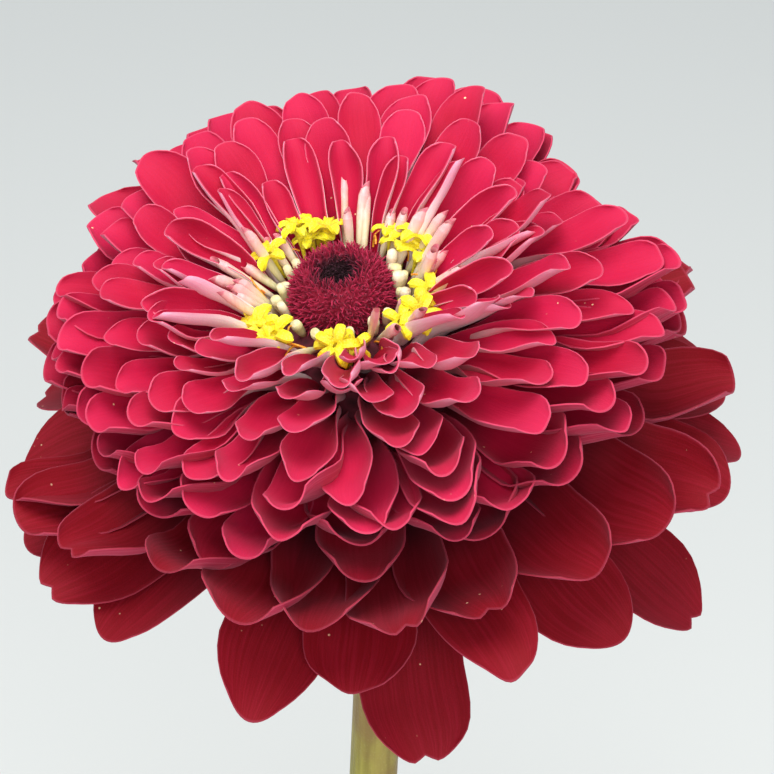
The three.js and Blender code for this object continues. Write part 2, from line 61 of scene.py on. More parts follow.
# %% The head's place and lean
BLOOM_BASE = Vector((2, 4, 288)) * MM
HEAD_LEAN_FRONT = 9
HEAD_LEAN_LEFT = 8
RECEPTACLE_TOP = 37
INVOLUCRE_HEIGHT = 9.2
INVOLUCRE_RADIUS = 15
STEM_NECK_RADIUS = 5.2
head_frame = (
    Matrix.Translation(BLOOM_BASE)
    @ Matrix.Rotation(math.radians(HEAD_LEAN_FRONT), 4, "X")
    @ Matrix.Rotation(math.radians(-HEAD_LEAN_LEFT), 4, "Y")
)
print("disc centre, mm:", [round(v / MM, 1) for v in head_frame @ Vector((0, 0, RECEPTACLE_TOP * MM))])

# %% [markdown]
# Nothing in nature repeats exactly, but a script has to give the same plant each time. This draw
# depends only on the number of the piece and on a salt, one for each use.


# %% Draws and blends of numbers
def shake(index, salt):
    """A repeatable draw from -1 to 1."""
    wild = math.sin(index * 12.9898 + salt * 78.233) * 43758.5453
    return 2 * (wild - math.floor(wild)) - 1


def share_of(index, salt):
    """A repeatable draw from 0 to 1."""
    return (shake(index, salt) + 1) / 2


def mix(low, high, share):
    return low + (high - low) * share


def ease(value, low, high):
    """0 below low, 1 above high, and a smooth slope between."""
    share = min(1, max(0, (value - low) / (high - low)))
    return share * share * (3 - 2 * share)


# %% [markdown]
# Modelling by hand in Blender means: select something, then use a tool on it. A tool works on all that
# is selected, and right after loading that is the whole CAD model. So these helpers clear the
# selection before they add a primitive, and `only` leaves just one object selected.


# %% Selecting and adding
def only(piece):
    """Selects one object and makes it active."""
    bpy.ops.object.select_all(action="DESELECT")
    piece.select_set(True)
    bpy.context.view_layer.objects.active = piece
    return piece


def added(name):
    """Names the object that an operator has just added."""
    piece = bpy.context.object
    piece.name = piece.data.name = name
    return piece


def started(name, primitive, **settings):
    """Adds a primitive while nothing else is selected, names it and applies its place."""
    bpy.ops.object.select_all(action="DESELECT")
    primitive(**settings)
    piece = added(name)
    bpy.ops.object.transform_apply(location=True, rotation=True)
    return piece


def discard(*pieces):
    """Deletes objects that have done their work, such as a prototype that has been copied."""
    for piece in pieces:
        bpy.data.objects.remove(piece)


# %% [markdown]
# In edit mode the tools work on picked parts of a mesh, while a modifier changes all of it. The next
# step often edits what a modifier has made, so each one is applied as soon as it is set.


# %% Edit mode and modifiers
@contextmanager
def editing(piece):
    """Opens a piece in edit mode, with all of it selected, for the lines of a with block."""
    only(piece)
    bpy.ops.object.mode_set(mode="EDIT")
    bpy.ops.mesh.select_all(action="SELECT")
    yield
    bpy.ops.object.mode_set(mode="OBJECT")


def smoothed(piece, degrees):
    """Shades a piece smooth where its faces meet at less than this angle."""
    only(piece)
    bpy.ops.object.shade_smooth_by_angle(angle=math.radians(degrees))


def apply_modifier(piece, kind, **settings):
    """Adds a modifier, sets it, and applies it."""
    modifier = only(piece).modifiers.new(kind.lower(), kind)
    for name, value in settings.items():
        setattr(modifier, name, value)
    bpy.ops.object.modifier_apply(modifier=modifier.name)


# %% [markdown]
# A finish is a small network of nodes. Written as sums it is easier to read, so `Value` wraps the
# output of a node and lets Python's own operators add the Math nodes.


# %% Shader maths as Python expressions
class Value:
    """An output of a node that can be used in sums."""

    def __init__(self, finish, socket):
        self.finish = finish
        self.socket = socket

    def maths(self, operation, *others):
        """A Math node on this value and the others."""
        terms = dict(enumerate((self, *others)))
        return self.finish.node("ShaderNodeMath", {"operation": operation}, terms)

    def __add__(self, other):
        return self.maths("ADD", other)

    def __sub__(self, other):
        return self.maths("SUBTRACT", other)

    def __rsub__(self, other):
        return self * -1 + other

    def __mul__(self, other):
        return self.maths("MULTIPLY", other)

    __radd__ = __add__
    __rmul__ = __mul__

    def __abs__(self):
        return self.maths("ABSOLUTE")

    def above(self, low, high):
        """0 below low, 1 above high, and a smooth slope between."""
        settings = {"interpolation_type": "SMOOTHSTEP"}
        sockets = {"Value": self, "From Min": low, "From Max": high}
        return self.finish.node("ShaderNodeMapRange", settings, sockets)

    def most(self, other):
        """The larger of the two values."""
        return self.maths("MAXIMUM", other)


# %% [markdown]
# `Finish` holds the network: it adds nodes, sets or links their sockets, and ends in the Principled
# shader. A short method stands for each kind of node that most finishes use.


# %% A finish and its nodes
class Finish:
    """A material being built round one Principled shader, whose constants are given by socket name."""

    def __init__(self, name, **constants):
        self.material = bpy.data.materials.new(name)
        self.material.use_nodes = True
        self.tree = self.material.node_tree
        self.shader = self.tree.nodes["Principled BSDF"]
        self.finished(**constants)

    def connect(self, socket, value):
        """Links a value to a socket, or sets the socket to a constant. A colour comes without alpha."""
        if isinstance(value, Value):
            self.tree.links.new(value.socket, socket)
        else:
            socket.default_value = (*value, 1) if socket.type == "RGBA" else value

    def node(self, kind, settings=None, sockets=None, output=0):
        """Adds any node: its settings first, then the values or links of its sockets."""
        added_node = self.tree.nodes.new(kind)
        for name, value in (settings or {}).items():
            setattr(added_node, name, value)
        shown = [socket for socket in added_node.inputs if socket.enabled]
        for key, value in (sockets or {}).items():
            found = shown[key] if isinstance(key, int) else next(s for s in shown if s.name == key)
            self.connect(found, value)
        outputs = [socket for socket in added_node.outputs if socket.enabled]
        return Value(self, outputs[output] if isinstance(output, int) else added_node.outputs[output])

    def attributes(self, *names):
        """The numbers that the vertices carry, in the order of their names."""
        return [self.node("ShaderNodeAttribute", {"attribute_name": name}, output="Fac") for name in names]

    def object_place(self):
        return self.node("ShaderNodeTexCoord", output="Object")

    def vector(self, x, y, z):
        return self.node("ShaderNodeCombineXYZ", {}, {0: x, 1: y, 2: z})

    def noise(self, place, scale, detail=2.0, roughness=0.5):
        sockets = {"Vector": place, "Scale": scale, "Detail": detail, "Roughness": roughness}
        return self.node("ShaderNodeTexNoise", {}, sockets)

    def cells(self, place, scale, feature="F1"):
        """How far each point lies from the middle, or the edge, of its cell."""
        sockets = {"Vector": place, "Scale": scale}
        return self.node("ShaderNodeTexVoronoi", {"feature": feature}, sockets, "Distance")

    def blend(self, share, low, high):
        """Mixes two colours."""
        return self.node("ShaderNodeMix", {"data_type": "RGBA"}, {"Factor": share, "A": low, "B": high})

    def bump(self, height, strength, distance, under=None):
        sockets = {"Height": height, "Strength": strength, "Distance": distance}
        if under:
            sockets["Normal"] = under
        return self.node("ShaderNodeBump", {}, sockets)

    def finished(self, **sockets):
        """Sets or links sockets of the shader, and gives the material."""
        for name, value in sockets.items():
            self.connect(self.shader.inputs[name.replace("_", " ")], value)
        return self.material


# %% [markdown]
# The stage is a plain pale floor. The camera stands where the photographer stood: close, in front of
# the bloom and looking down on it, with a long lens. Daylight under a bright sky is soft and comes
# from above, so the studio has one large lamp overhead, a weaker one in front and a bright world.

# %% Stage, camera and light
CAMERA_ELEVATION = 34
CAMERA_DISTANCE = 480 * MM
CAMERA_TARGET = Vector((3.5, 0, 307.9)) * MM
VIEW_WIDTH = 122.5 * MM

floor = started("floor", bpy.ops.mesh.primitive_plane_add, size=6, location=(0, 0, -0.5 * MM))
floor_finish = Finish("pale_floor", Base_Color=(0.76, 0.77, 0.74), Roughness=0.9)
floor.data.materials.append(floor_finish.material)

elevation = math.radians(CAMERA_ELEVATION)
sight = Vector((0, math.cos(elevation), -math.sin(elevation)))
bpy.ops.object.camera_add(location=CAMERA_TARGET - sight * CAMERA_DISTANCE)
camera = bpy.context.object
camera.rotation_euler = sight.to_track_quat("-Z", "Y").to_euler()
camera.data.lens = camera.data.sensor_width * CAMERA_DISTANCE / VIEW_WIDTH
camera.data.clip_start = 0.01
bpy.context.scene.camera = camera
bpy.context.scene.view_settings.view_transform = "Standard"

world = bpy.data.worlds.new("soft_sky")
world.use_nodes = True
sky = world.node_tree.nodes["Background"]
sky.inputs["Color"].default_value = (0.88, 0.94, 1.0, 1.0)
sky.inputs["Strength"].default_value = 0.55
bpy.context.scene.world = world


def soft_lamp(name, place, size, power):
    """A square area lamp that faces the bloom."""
    bpy.ops.object.light_add(type="AREA", location=place)
    lamp = bpy.context.object
    lamp.name = name
    lamp.data.size = size
    lamp.data.energy = power
    lamp.rotation_euler = (Vector(place) - CAMERA_TARGET).to_track_quat("Z", "Y").to_euler()


soft_lamp("overhead", place=(-0.1, -0.1, 1.15), size=0.7, power=8.8)
soft_lamp("front", place=(0.1, -0.9, 0.8), size=0.6, power=5.2)
print("lens, mm:", round(camera.data.lens, 1))

# %% [markdown]
# A clay pot is thrown on a wheel, so its shape is an outline that turns round an axis: the Spin tool.
# The outline is drawn by extruding one vertex from corner to corner, and a Bevel modifier rounds the
# corners afterwards, which is quicker than drawing each arc.


# %% Turning an outline
def turned(name, outline, steps, smooth_angle=40):
    """Spins an outline of [radius, height] points, in millimetres, round the Z axis."""
    piece = started(name, bpy.ops.mesh.primitive_plane_add, size=MM)
    with editing(piece):
        bpy.ops.mesh.merge(type="CENTER")
        bpy.ops.transform.translate(value=Vector((outline[0][0], 0, outline[0][1])) * MM)
        for (radius, height), (next_radius, next_height) in zip(outline, outline[1:]):
            step = Vector((next_radius - radius, 0, next_height - height)) * MM
            bpy.ops.mesh.extrude_region_move(TRANSFORM_OT_translate={"value": step})
        bpy.ops.mesh.select_all(action="SELECT")
        bpy.ops.mesh.spin(steps=steps, angle=2 * math.pi, center=(0, 0, 0), axis=(0, 0, 1))
        bpy.ops.mesh.select_all(action="SELECT")
        bpy.ops.mesh.remove_doubles(threshold=0.01 * MM)
        bpy.ops.mesh.normals_make_consistent(inside=False)
    smoothed(piece, smooth_angle)
    print(f"{name}: {len(outline)} points turned in {steps} steps")
    return piece


# %% [markdown]
# The frame gives the pot's height and the radius of its rim. The walls lean outwards up to a plain
# band, and a Boolean modifier cuts the drain holes through the foot, with a cylinder as the drill.

# %% The pot's shape
pot_low, pot_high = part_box("pot")
POT_HEIGHT = (pot_high[2] - pot_low[2]) / MM
POT_RIM_RADIUS = (pot_high[0] - pot_low[0]) / 2 / MM
POT_FOOT_RADIUS = 49
POT_WALL = 5
POT_BAND_HEIGHT = 27
POT_BAND_PROUD = 3.5
POT_CORNER = 1.4
DRAIN_HOLES = 4
DRAIN_HOLE_RADIUS = 4.5
DRAIN_HOLE_RING = 27

band_start = POT_HEIGHT - POT_BAND_HEIGHT
body_top = POT_RIM_RADIUS - POT_BAND_PROUD
pot_outline = [
    (0, 0),
    (POT_FOOT_RADIUS, 0),
    (body_top, band_start),
    (body_top + POT_BAND_PROUD - 1, band_start + 1),
    (POT_RIM_RADIUS, POT_HEIGHT),
    (POT_RIM_RADIUS - POT_WALL, POT_HEIGHT),
    (body_top - POT_WALL, band_start),
    (mix(POT_FOOT_RADIUS, body_top, POT_WALL / band_start) - POT_WALL, POT_WALL),
    (0, POT_WALL),
]
pot = turned("clay_pot", pot_outline, steps=96)
apply_modifier(pot, "BEVEL", width=POT_CORNER * MM, segments=3, angle_limit=math.radians(35))
cylinder = {"vertices": 24, "radius": DRAIN_HOLE_RADIUS * MM, "depth": 6 * POT_WALL * MM}
for hole in range(DRAIN_HOLES):
    turn = (hole + 0.5) * 2 * math.pi / DRAIN_HOLES
    place = Vector((math.cos(turn), math.sin(turn), 0)) * DRAIN_HOLE_RING * MM
    drill = started("drill", bpy.ops.mesh.primitive_cylinder_add, location=place, **cylinder)
    apply_modifier(pot, "BOOLEAN", operation="DIFFERENCE", object=drill, solver="EXACT")
    discard(drill)
smoothed(pot, 30)
print("pot height and rim radius, mm:", round(POT_HEIGHT, 1), round(POT_RIM_RADIUS, 1))

# %% [markdown]
# A finished piece is handed over with its material, the body that it moves with, and the CAD nodes that
# it stands in for. Everything here is on one body, the plant.


# %% Handing a piece over
def dressed(piece, finish, slot, *nodes):
    """Gives a finished piece its material, its body, and the CAD nodes that it stands for."""
    piece.data.materials.clear()
    piece.data.materials.append(finish)
    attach(piece, "root")
    if nodes:
        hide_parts(*nodes)
    triangles = sum(len(face.vertices) - 2 for face in piece.data.polygons)
    print(f"{piece.name}: {triangles} triangles")


# %% [markdown]
# Fired clay is dull and slightly uneven: fine turning rings from the wheel, a sandy grain, and a pale
# bloom of lime that water leaves behind, mostly low on the pot and under the band.

# %% Clay
clay = Finish("fired_clay", Roughness=0.88, Specular_IOR_Level=0.25)
place = clay.object_place()
height = clay.node("ShaderNodeSeparateXYZ", {}, {0: place}, "Z")
cloud = clay.noise(place, 28, 5, 0.6)
grain = clay.noise(place, 900, 3, 0.7)
rings = clay.noise(clay.vector(0, 0, height * 700), 1, 2)
lime = (cloud.above(0.52, 0.75) * (1 - height.above(0.01, 0.07)) * 0.75).most(
    cloud.above(0.56, 0.72) * height.above(0.085, 0.098) * 0.3
)
warm = clay.blend(cloud.above(0.3, 0.7), (0.43, 0.15, 0.065), (0.58, 0.235, 0.12))
sandy = clay.blend(grain.above(0.62, 0.78) * 0.5, warm, (0.7, 0.42, 0.28))
limed = clay.blend(lime, sandy, (0.72, 0.6, 0.5))
relief = clay.bump(rings, 0.25, 0.4 * MM, clay.bump(grain, 0.35, 0.25 * MM))
clay_finish = clay.finished(Base_Color=limed, Normal=relief, Roughness=0.8 + grain * 0.15)
dressed(pot, clay_finish, "clay", "pot")

# %% [markdown]
# Potting mix settles a little below the rim, with a lumpy top. It is turned like the pot, in many thin
# rings, and a cloud texture then pushes its vertices up and down. Weights keep this to the top of the
# soil, and let it fade towards the stem.


# %% Weights for a modifier
def weigh(piece, name, value):
    """Makes a vertex group whose weights are a function of the vertex's place."""
    group = piece.vertex_groups.new(name=name)
    for vertex in piece.data.vertices:
        group.add([vertex.index], value(vertex.co), "REPLACE")


# %% The soil's body
SOIL_LEVEL = 113
SOIL_RINGS = 26
LUMP_SIZE = 9
LUMP_HEIGHT = 5.5
soil_low, soil_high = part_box("soil")
soil_radius = (soil_high[0] - soil_low[0]) / 2 / MM
soil_floor = soil_low[2] / MM
soil_foot = POT_FOOT_RADIUS - POT_WALL - 2

soil_outline = [(0, soil_floor), (soil_foot - 2, soil_floor), (soil_foot, soil_floor + 4)]
soil_outline.append((soil_radius, SOIL_LEVEL - 1))
for ring in range(1, SOIL_RINGS + 1):
    soil_outline.append((mix(soil_radius, 0, (ring / SOIL_RINGS) ** 0.9), SOIL_LEVEL))
soil = turned("potting_soil", soil_outline, steps=120)
lumps = bpy.data.textures.new("soil_lumps", "CLOUDS")
lumps.noise_scale = LUMP_SIZE * MM
lumps.noise_depth = 3
weigh(soil, "top", lambda co: ease(co.z / MM, SOIL_LEVEL - 2, SOIL_LEVEL) * ease(co.xy.length / MM, 3, 7))
heave = {"direction": "Z", "strength": LUMP_HEIGHT * MM, "mid_level": 0.5}
apply_modifier(soil, "DISPLACE", texture=lumps, vertex_group="top", **heave)
print("soil radius, mm:", round(soil_radius, 1))

# %% [markdown]
# What repeats is modelled once and copied, each copy with a mesh of its own, and the copies are joined
# into one object at the end. `mark` stores numbers with the vertices, which a finish can read later:
# here a number for each crumb, that picks its colour.


# %% Marking, copying and joining
def mark(piece, **marks):
    """Stores numbers with each vertex. Each is a constant, or a function of the vertex."""
    mesh = piece.data
    for name, value in marks.items():
        found = mesh.attributes.get(name) or mesh.attributes.new(name, "FLOAT", "POINT")
        numbers = [value(vertex) if callable(value) else value for vertex in mesh.vertices]
        found.data.foreach_set("value", numbers)


def copy_of(prototype, matrix=Matrix()):
    """A copy with its own mesh, put in place."""
    piece = prototype.copy()
    piece.data = prototype.data.copy()
    piece.data.transform(matrix)
    bpy.context.collection.objects.link(piece)
    return piece


def joined(name, pieces):
    """Joins objects into one."""
    bpy.ops.object.select_all(action="DESELECT")
    for piece in pieces:
        piece.select_set(True)
    bpy.context.view_layer.objects.active = pieces[0]
    bpy.ops.object.join()
    print(f"{name}: {len(pieces)} pieces joined")
    return added(name)


# %% [markdown]
# Loose crumbs of bark and grit lie on the soil. A crumb is a ball of twenty faces, made lumpy at
# random, and each copy is stretched and turned. A ray cast straight down finds where it lands.

# %% Crumbs of bark and grit
CRUMB_COUNT = 420
CRUMB_LUMPS = 0.28
CRUMB_MARGIN = 2.5
random.seed(11)
crumb = started("crumb", bpy.ops.mesh.primitive_ico_sphere_add, subdivisions=1, radius=MM)
with editing(crumb):
    bpy.ops.transform.vertex_random(offset=CRUMB_LUMPS * MM, seed=4)
mark(crumb, tint=0)
mark(soil, tint=0)
crumbs = []
for index in range(CRUMB_COUNT):
    radius = (soil_radius - CRUMB_MARGIN) * math.sqrt(mix(0.012, 1, random.random()))
    turn = random.uniform(0, 2 * math.pi)
    spot = Vector((radius * math.cos(turn), radius * math.sin(turn), SOIL_LEVEL + 20)) * MM
    hit, ground, _, _ = soil.ray_cast(spot, Vector((0, 0, -1)))
    if not hit:
        continue
    size = random.uniform(0.4, 1.0) ** 2 * 2.0
    tilt = Matrix.Rotation(random.uniform(0, 6.3), 4, Vector((random.random(), random.random(), 0.3)))
    shape = Matrix.Diagonal((size, size * random.uniform(0.5, 0.9), size * random.uniform(0.35, 0.8), 1))
    crumbs.append(copy_of(crumb, Matrix.Translation(ground) @ tilt @ shape))
    mark(crumbs[-1], tint=random.random())
loose = joined("soil_crumbs", crumbs)
discard(crumb)

# %% [markdown]
# Moist peat is nearly black-brown and dull. Each crumb carries a number of its own, which picks bark
# brown for most of them and pale grit for a few.

# %% Peat
peat = Finish("potting_mix", Roughness=0.92, Specular_IOR_Level=0.3)
place = peat.object_place()
[tint] = peat.attributes("tint")
lumpy = peat.noise(place, 160, 6, 0.7)
dark = peat.blend(lumpy.above(0.35, 0.65), (0.012, 0.008, 0.005), (0.06, 0.036, 0.022))
bark = peat.blend(tint.above(0.35, 0.8), dark, (0.13, 0.065, 0.032))
gritty = peat.blend(tint.above(0.93, 0.95), bark, (0.62, 0.58, 0.5))
peat_finish = peat.finished(Base_Color=gritty, Normal=peat.bump(lumpy, 0.9, 1.2 * MM))
dressed(soil, peat_finish, "soil", "soil")
dressed(loose, peat_finish, "soil")

# %% [markdown]
# The stem is a round rod that follows a gently curved line. In Blender a curve with a round bevel and
# a radius at each point does this. A few points give the line, and a formula smooths it.

# %% The stem's line
STEM_FOOT = SOIL_LEVEL - 25.7
STEM_FOOT_RADIUS = 4.8
STEM_RADIUS = 4.2
LEAF_JOINTS = [SOIL_LEVEL + above for above in (10, 33, 55, 78)]
BASE = BLOOM_BASE / MM
stem_points = [
    Vector((0, 0, STEM_FOOT)),
    Vector((0, 0, SOIL_LEVEL)),
    Vector((-1.5, 2, SOIL_LEVEL + 45)),
    Vector((0.5, 4.5, SOIL_LEVEL + 95)),
    Vector((2.4, 6.5, BASE.z - 30)),
    Vector(BASE),
]


def smooth_line(points, steps):
    """The smooth line through a list of points, in so many steps from each point to the next."""
    line = []
    for k, (start, end) in enumerate(zip(points, points[1:])):
        before = points[max(k - 1, 0)]
        after = points[min(k + 2, len(points) - 1)]
        for step in range(steps):
            t = step / steps
            square = 2 * before - 5 * start + 4 * end - after
            cube = 3 * start - before - 3 * end + after
            line.append(0.5 * (2 * start + (end - before) * t + square * t**2 + cube * t**3))
    return line + [points[-1]]


stem_line = smooth_line(stem_points, 12)
print("stem from", STEM_FOOT, "to", round(stem_line[-1].z, 1), "mm")

# %% [markdown]
# The line is now dense enough to read off the stem's middle at any height, which the leaves need too.
# The radius grows towards the soil and the head, and swells a little at each leaf joint.


# %% The stem's tube
def stem_at(height):
    """The middle of the stem at a height, in millimetres."""
    for low, high in zip(stem_line, stem_line[1:]):
        if low.z <= height <= high.z:
            return low.lerp(high, (height - low.z) / (high.z - low.z))
    return stem_line[-1].copy()


def stem_radius(height):
    low = mix(STEM_FOOT_RADIUS, STEM_RADIUS, ease(height, SOIL_LEVEL - 20, SOIL_LEVEL + 60))
    plain = mix(low, STEM_NECK_RADIUS, ease(height, BASE.z - 42, BASE.z))
    nearest = min(abs(height - joint) for joint in LEAF_JOINTS)
    return plain + 0.55 * max(0, 1 - nearest / 6) ** 1.5


bpy.ops.object.select_all(action="DESELECT")
bpy.ops.curve.primitive_nurbs_path_add()
path = bpy.context.object
path.data.splines.clear()
spline = path.data.splines.new("POLY")
spline.points.add(len(stem_line) - 1)
for point, centre in zip(spline.points, stem_line):
    point.co = (*(centre * MM), 1)
    point.radius = stem_radius(centre.z)
path.data.dimensions = "3D"
path.data.bevel_depth = MM
path.data.bevel_resolution = 6
path.data.use_fill_caps = True
bpy.ops.object.convert(target="MESH")
stem = added("flower_stem")
bpy.ops.object.shade_smooth()
print("stem faces:", len(stem.data.polygons))

# %% [markdown]
# A zinnia's stem is pale green with fine ribs along it and short stiff hairs, here and there flushed
# with brown. The ribs run along the stem, so they come from noise that is stretched along Z.

# %% Stem green
skin = Finish(
    "stem_skin",
    Roughness=0.55,
    Sheen_Weight=0.15,
    Sheen_Roughness=0.5,
    Subsurface_Weight=0.08,
    Subsurface_Radius=(1.5 * MM, 2 * MM, 0.6 * MM),
)
place = skin.object_place()
stretched = skin.node("ShaderNodeMapping", {}, {"Vector": place, "Scale": (1, 1, 0.05)})
ribs = skin.noise(stretched, 900, 2)
flush = skin.noise(place, 45, 3)
hairs = skin.cells(place, 1500)
green = skin.blend(ribs.above(0.35, 0.65), (0.31, 0.28, 0.035), (0.5, 0.46, 0.08))
flushed = skin.blend(flush.above(0.4, 0.6) * 0.7, green, (0.3, 0.16, 0.06))
frosted = skin.blend((1 - hairs.above(0.0, 0.35)) * 0.2, flushed, (0.6, 0.55, 0.22))
relief = skin.bump(ribs, 0.5, 0.35 * MM, skin.bump(hairs, 0.4, 0.2 * MM))
stem_finish = skin.finished(Base_Color=frosted, Normal=relief)
dressed(stem, stem_finish, "stem_green", "stem")

# %% [markdown]
# Leaves, bracts, petals and the lobes of the small florets are all blades: flat when they start, then
# cupped, narrowed into an outline, given a thickness, and arched. One function makes a blade. It lies
# along X with its width along Z and its upper face towards +Y, because the Bend modifier then cups it
# on axis X and arches it on axis Z. The cup comes before the outline, so that a narrow base is rolled
# as tightly as the broad part. Each vertex remembers how far along and across it started and which
# side it is on, and the finishes read those numbers.


# %% A blade
def deform(piece, method, axis, degrees, group=""):
    """Bends or twists a piece. For a blade that lies along X, a bend on X cups it and on Z arches it."""
    settings = {"deform_method": method, "deform_axis": axis, "angle": math.radians(degrees)}
    apply_modifier(piece, "SIMPLE_DEFORM", vertex_group=group, **settings)


def pick_marked(name, value):
    """In edit mode, selects the vertices that carry this number."""
    mesh = bmesh.from_edit_mesh(bpy.context.object.data)
    layer = mesh.verts.layers.float[name]
    for vertex in mesh.verts:
        vertex.select_set(abs(vertex[layer] - value) < 0.001)
    mesh.select_flush_mode()


def closer_to_tip(share):
    """Rows of faces stand closer together towards the tip, where the outline turns."""
    return 1 - (1 - share) ** 1.5


def blade(name, grid, size, half_width, reach, cup, thickness, cup_share=lambda v: 1, spoon=0):
    """A blade of some length and width, in millimetres.

    half_width(v) and reach(u) are its outline, v from 0 at the base to 1 at the tip and u from -1 to 1
    across. cup is the angle in degrees that it is rolled by, and cup_share(v) how much of that is left
    at v. spoon is how far the end turns up.
    """
    rows, columns = grid
    sheet = {"x_subdivisions": rows, "y_subdivisions": columns, "size": 1, "rotation": (-math.pi / 2, 0, 0)}
    piece = started(name, bpy.ops.mesh.primitive_grid_add, location=(0.5, 0, 0), **sheet)
    for vertex in piece.data.vertices:
        vertex.co.x = closer_to_tip(vertex.co.x)
    mark(piece, along=lambda vertex: vertex.co.x, across=lambda vertex: 2 * vertex.co.z)
    weigh(piece, "cupped", lambda co: cup_share(co.x))
    with editing(piece):
        for column in range(columns + 1):
            u = 2 * column / columns - 1
            pick_marked("across", u)
            scale = (size[0] * MM * reach(u), 1, size[1] * MM)
            bpy.ops.transform.resize(value=scale, center_override=(0, 0, 0))
    deform(piece, "BEND", "X", cup, "cupped")
    with editing(piece):
        for row in range(rows + 1):
            v = closer_to_tip(row / rows)
            pick_marked("along", v)
            bpy.ops.transform.resize(value=(1, half_width(v), half_width(v)), center_override=(0, 0, 0))
            lift = spoon * MM * ease(v, 0.66, 1.05) ** 1.5
            bpy.ops.transform.translate(value=(0, lift, 0))
    upper = len(piece.data.vertices)
    apply_modifier(piece, "SOLIDIFY", thickness=thickness * MM, offset=0)
    mark(piece, side=lambda vertex: float(vertex.index < upper))
    smoothed(piece, 50)
    return piece


# %% [markdown]
# No two petals of a bloom are alike, and no two leaves. So a copy of a blade is stretched and bent by
# amounts of its own while it still lies along X, and only then turned over and put in its place.


# %% A copy of a blade
def grown(prototype, place, stretch=(1, 1, 1), arch=0, twist=0):
    """A copy of a blade: stretched, twisted, arched, laid with its upper face up, and placed."""
    piece = copy_of(prototype, Matrix.Diagonal((stretch[0], stretch[1], stretch[2], 1)))
    if twist:
        deform(piece, "TWIST", "X", twist)
    if arch:
        deform(piece, "BEND", "Z", arch)
    piece.data.transform(place @ Matrix.Rotation(math.pi / 2, 4, "X"))
    return piece


# %% [markdown]
# Zinnia leaves grow straight from the stem in pairs, each pair turned a quarter from the one below.
# They are long ovals with a pointed tip, folded a little along the midrib, and three main veins run
# from the base to the tip. The veins are pressed into the blade in the mesh, because they show as
# grooves from above and ridges from below, and the finish adds the net of fine ones.

# %% The leaf that all leaves are copied from
LEAF_THICKNESS = 0.8
LEAF_ROOT = 2.6
LEAF_SIZE = (90, 40)
VEIN_HALF_WIDTH = 0.07
SIDE_VEIN_PLACE = 0.4


def leaf_half_width(v):
    return max(0.06, math.sin(math.pi * (0.1 + 0.9 * v) ** 0.8))


def leaf_reach(u):
    return 1 - 0.02 * abs(u)


def vein_depth(u):
    """How deep the three main veins are pressed in, from 0 to 1."""
    midrib = max(0, 1 - abs(u) / VEIN_HALF_WIDTH)
    sides = max(0, 1 - abs(abs(u) - SIDE_VEIN_PLACE) / VEIN_HALF_WIDTH)
    return midrib + 0.6 * sides


def crimp(piece, ripple, veins):
    """Presses the veins into a blade and waves its edges, by numbers that its vertices carry."""
    marks = piece.data.attributes
    for vertex in piece.data.vertices:
        u = marks["across"].data[vertex.index].value
        v = marks["along"].data[vertex.index].value
        wave = math.sin(14 * v + (0 if u > 0 else 1.4)) * u * u * math.sin(math.pi * v)
        groove = (abs(u) ** 0.8 * 4 - vein_depth(u)) * leaf_half_width(v)
        vertex.co.y += (ripple * wave + veins * groove) * MM


leaf = blade("leaf", (36, 28), LEAF_SIZE, leaf_half_width, leaf_reach, cup=8, thickness=LEAF_THICKNESS)
crimp(leaf, ripple=1.6, veins=0.5)
print("leaf faces:", len(leaf.data.polygons))

# %% [markdown]
# A zinnia leaf is rough and mid green, with paler veins and a paler back. The numbers that its
# vertices carry put the colour of the main veins exactly where they are pressed in, and a net of cells
# between them stands for the fine veins, so no picture has to be wrapped round the leaf.

# %% Leaf green
leafy = Finish(
    "leaf_blade",
    Roughness=0.5,
    Specular_IOR_Level=0.4,
    Subsurface_Weight=0.1,
    Subsurface_Radius=(1 * MM, 2 * MM, 0.4 * MM),
)
across, along, side = leafy.attributes("across", "along", "side")
place = leafy.object_place()
midrib = 1 - abs(across).above(0.015, VEIN_HALF_WIDTH)
sides = 1 - abs(abs(across) - SIDE_VEIN_PLACE).above(0.01, 0.05)
flat_place = leafy.vector(along * 9 + abs(across) * 2.5, across * 3, 0)
net = 1 - leafy.cells(flat_place, 3.2, "DISTANCE_TO_EDGE").above(0.01, 0.09)
mottle = leafy.noise(place, 70, 4, 0.6)
veins = midrib.most(sides * 0.7).most(net * 0.4)
green = leafy.blend(mottle.above(0.3, 0.7), (0.045, 0.13, 0.02), (0.11, 0.23, 0.035))
veined = leafy.blend(veins * 0.75, green, (0.27, 0.38, 0.12))
pale_under = leafy.blend(veins * 0.5, (0.2, 0.3, 0.11), (0.36, 0.45, 0.2))
two_sided = leafy.blend(side, pale_under, veined)
edged = leafy.blend(abs(across).above(0.94, 1.0) * 0.5, two_sided, (0.3, 0.34, 0.12))
hairs = leafy.cells(place, 1300)
relief = leafy.bump(1 - net, 0.35, 0.4 * MM, leafy.bump(hairs, 0.25, 0.15 * MM))
leaf_finish = leafy.finished(Base_Color=edged, Normal=relief, Roughness=0.45 + mottle * 0.2)

# %% [markdown]
# The eight leaves are copies of that one. Each starts inside the stem at its joint, turned a quarter
# from the pair below, and stays a piece of its own, because each CAD leaf is one. A place is built up
# from matrices: a turn round the axis, a step out from it, then a lean.


# %% Places round an axis
def out_from(turn, radius, height, yaw=0, roll=0):
    """The place of a piece out from the axis, facing away from it. Millimetres and radians."""
    return (
        Matrix.Rotation(turn, 4, "Z")
        @ Matrix.Translation(Vector((radius, 0, height)) * MM)
        @ Matrix.Rotation(yaw, 4, "Z")
        @ Matrix.Rotation(roll, 4, "X")
    )


def rising(degrees):
    """Tips a blade that lies level so that it climbs by this angle."""
    return Matrix.Rotation(-math.radians(degrees), 4, "Y")


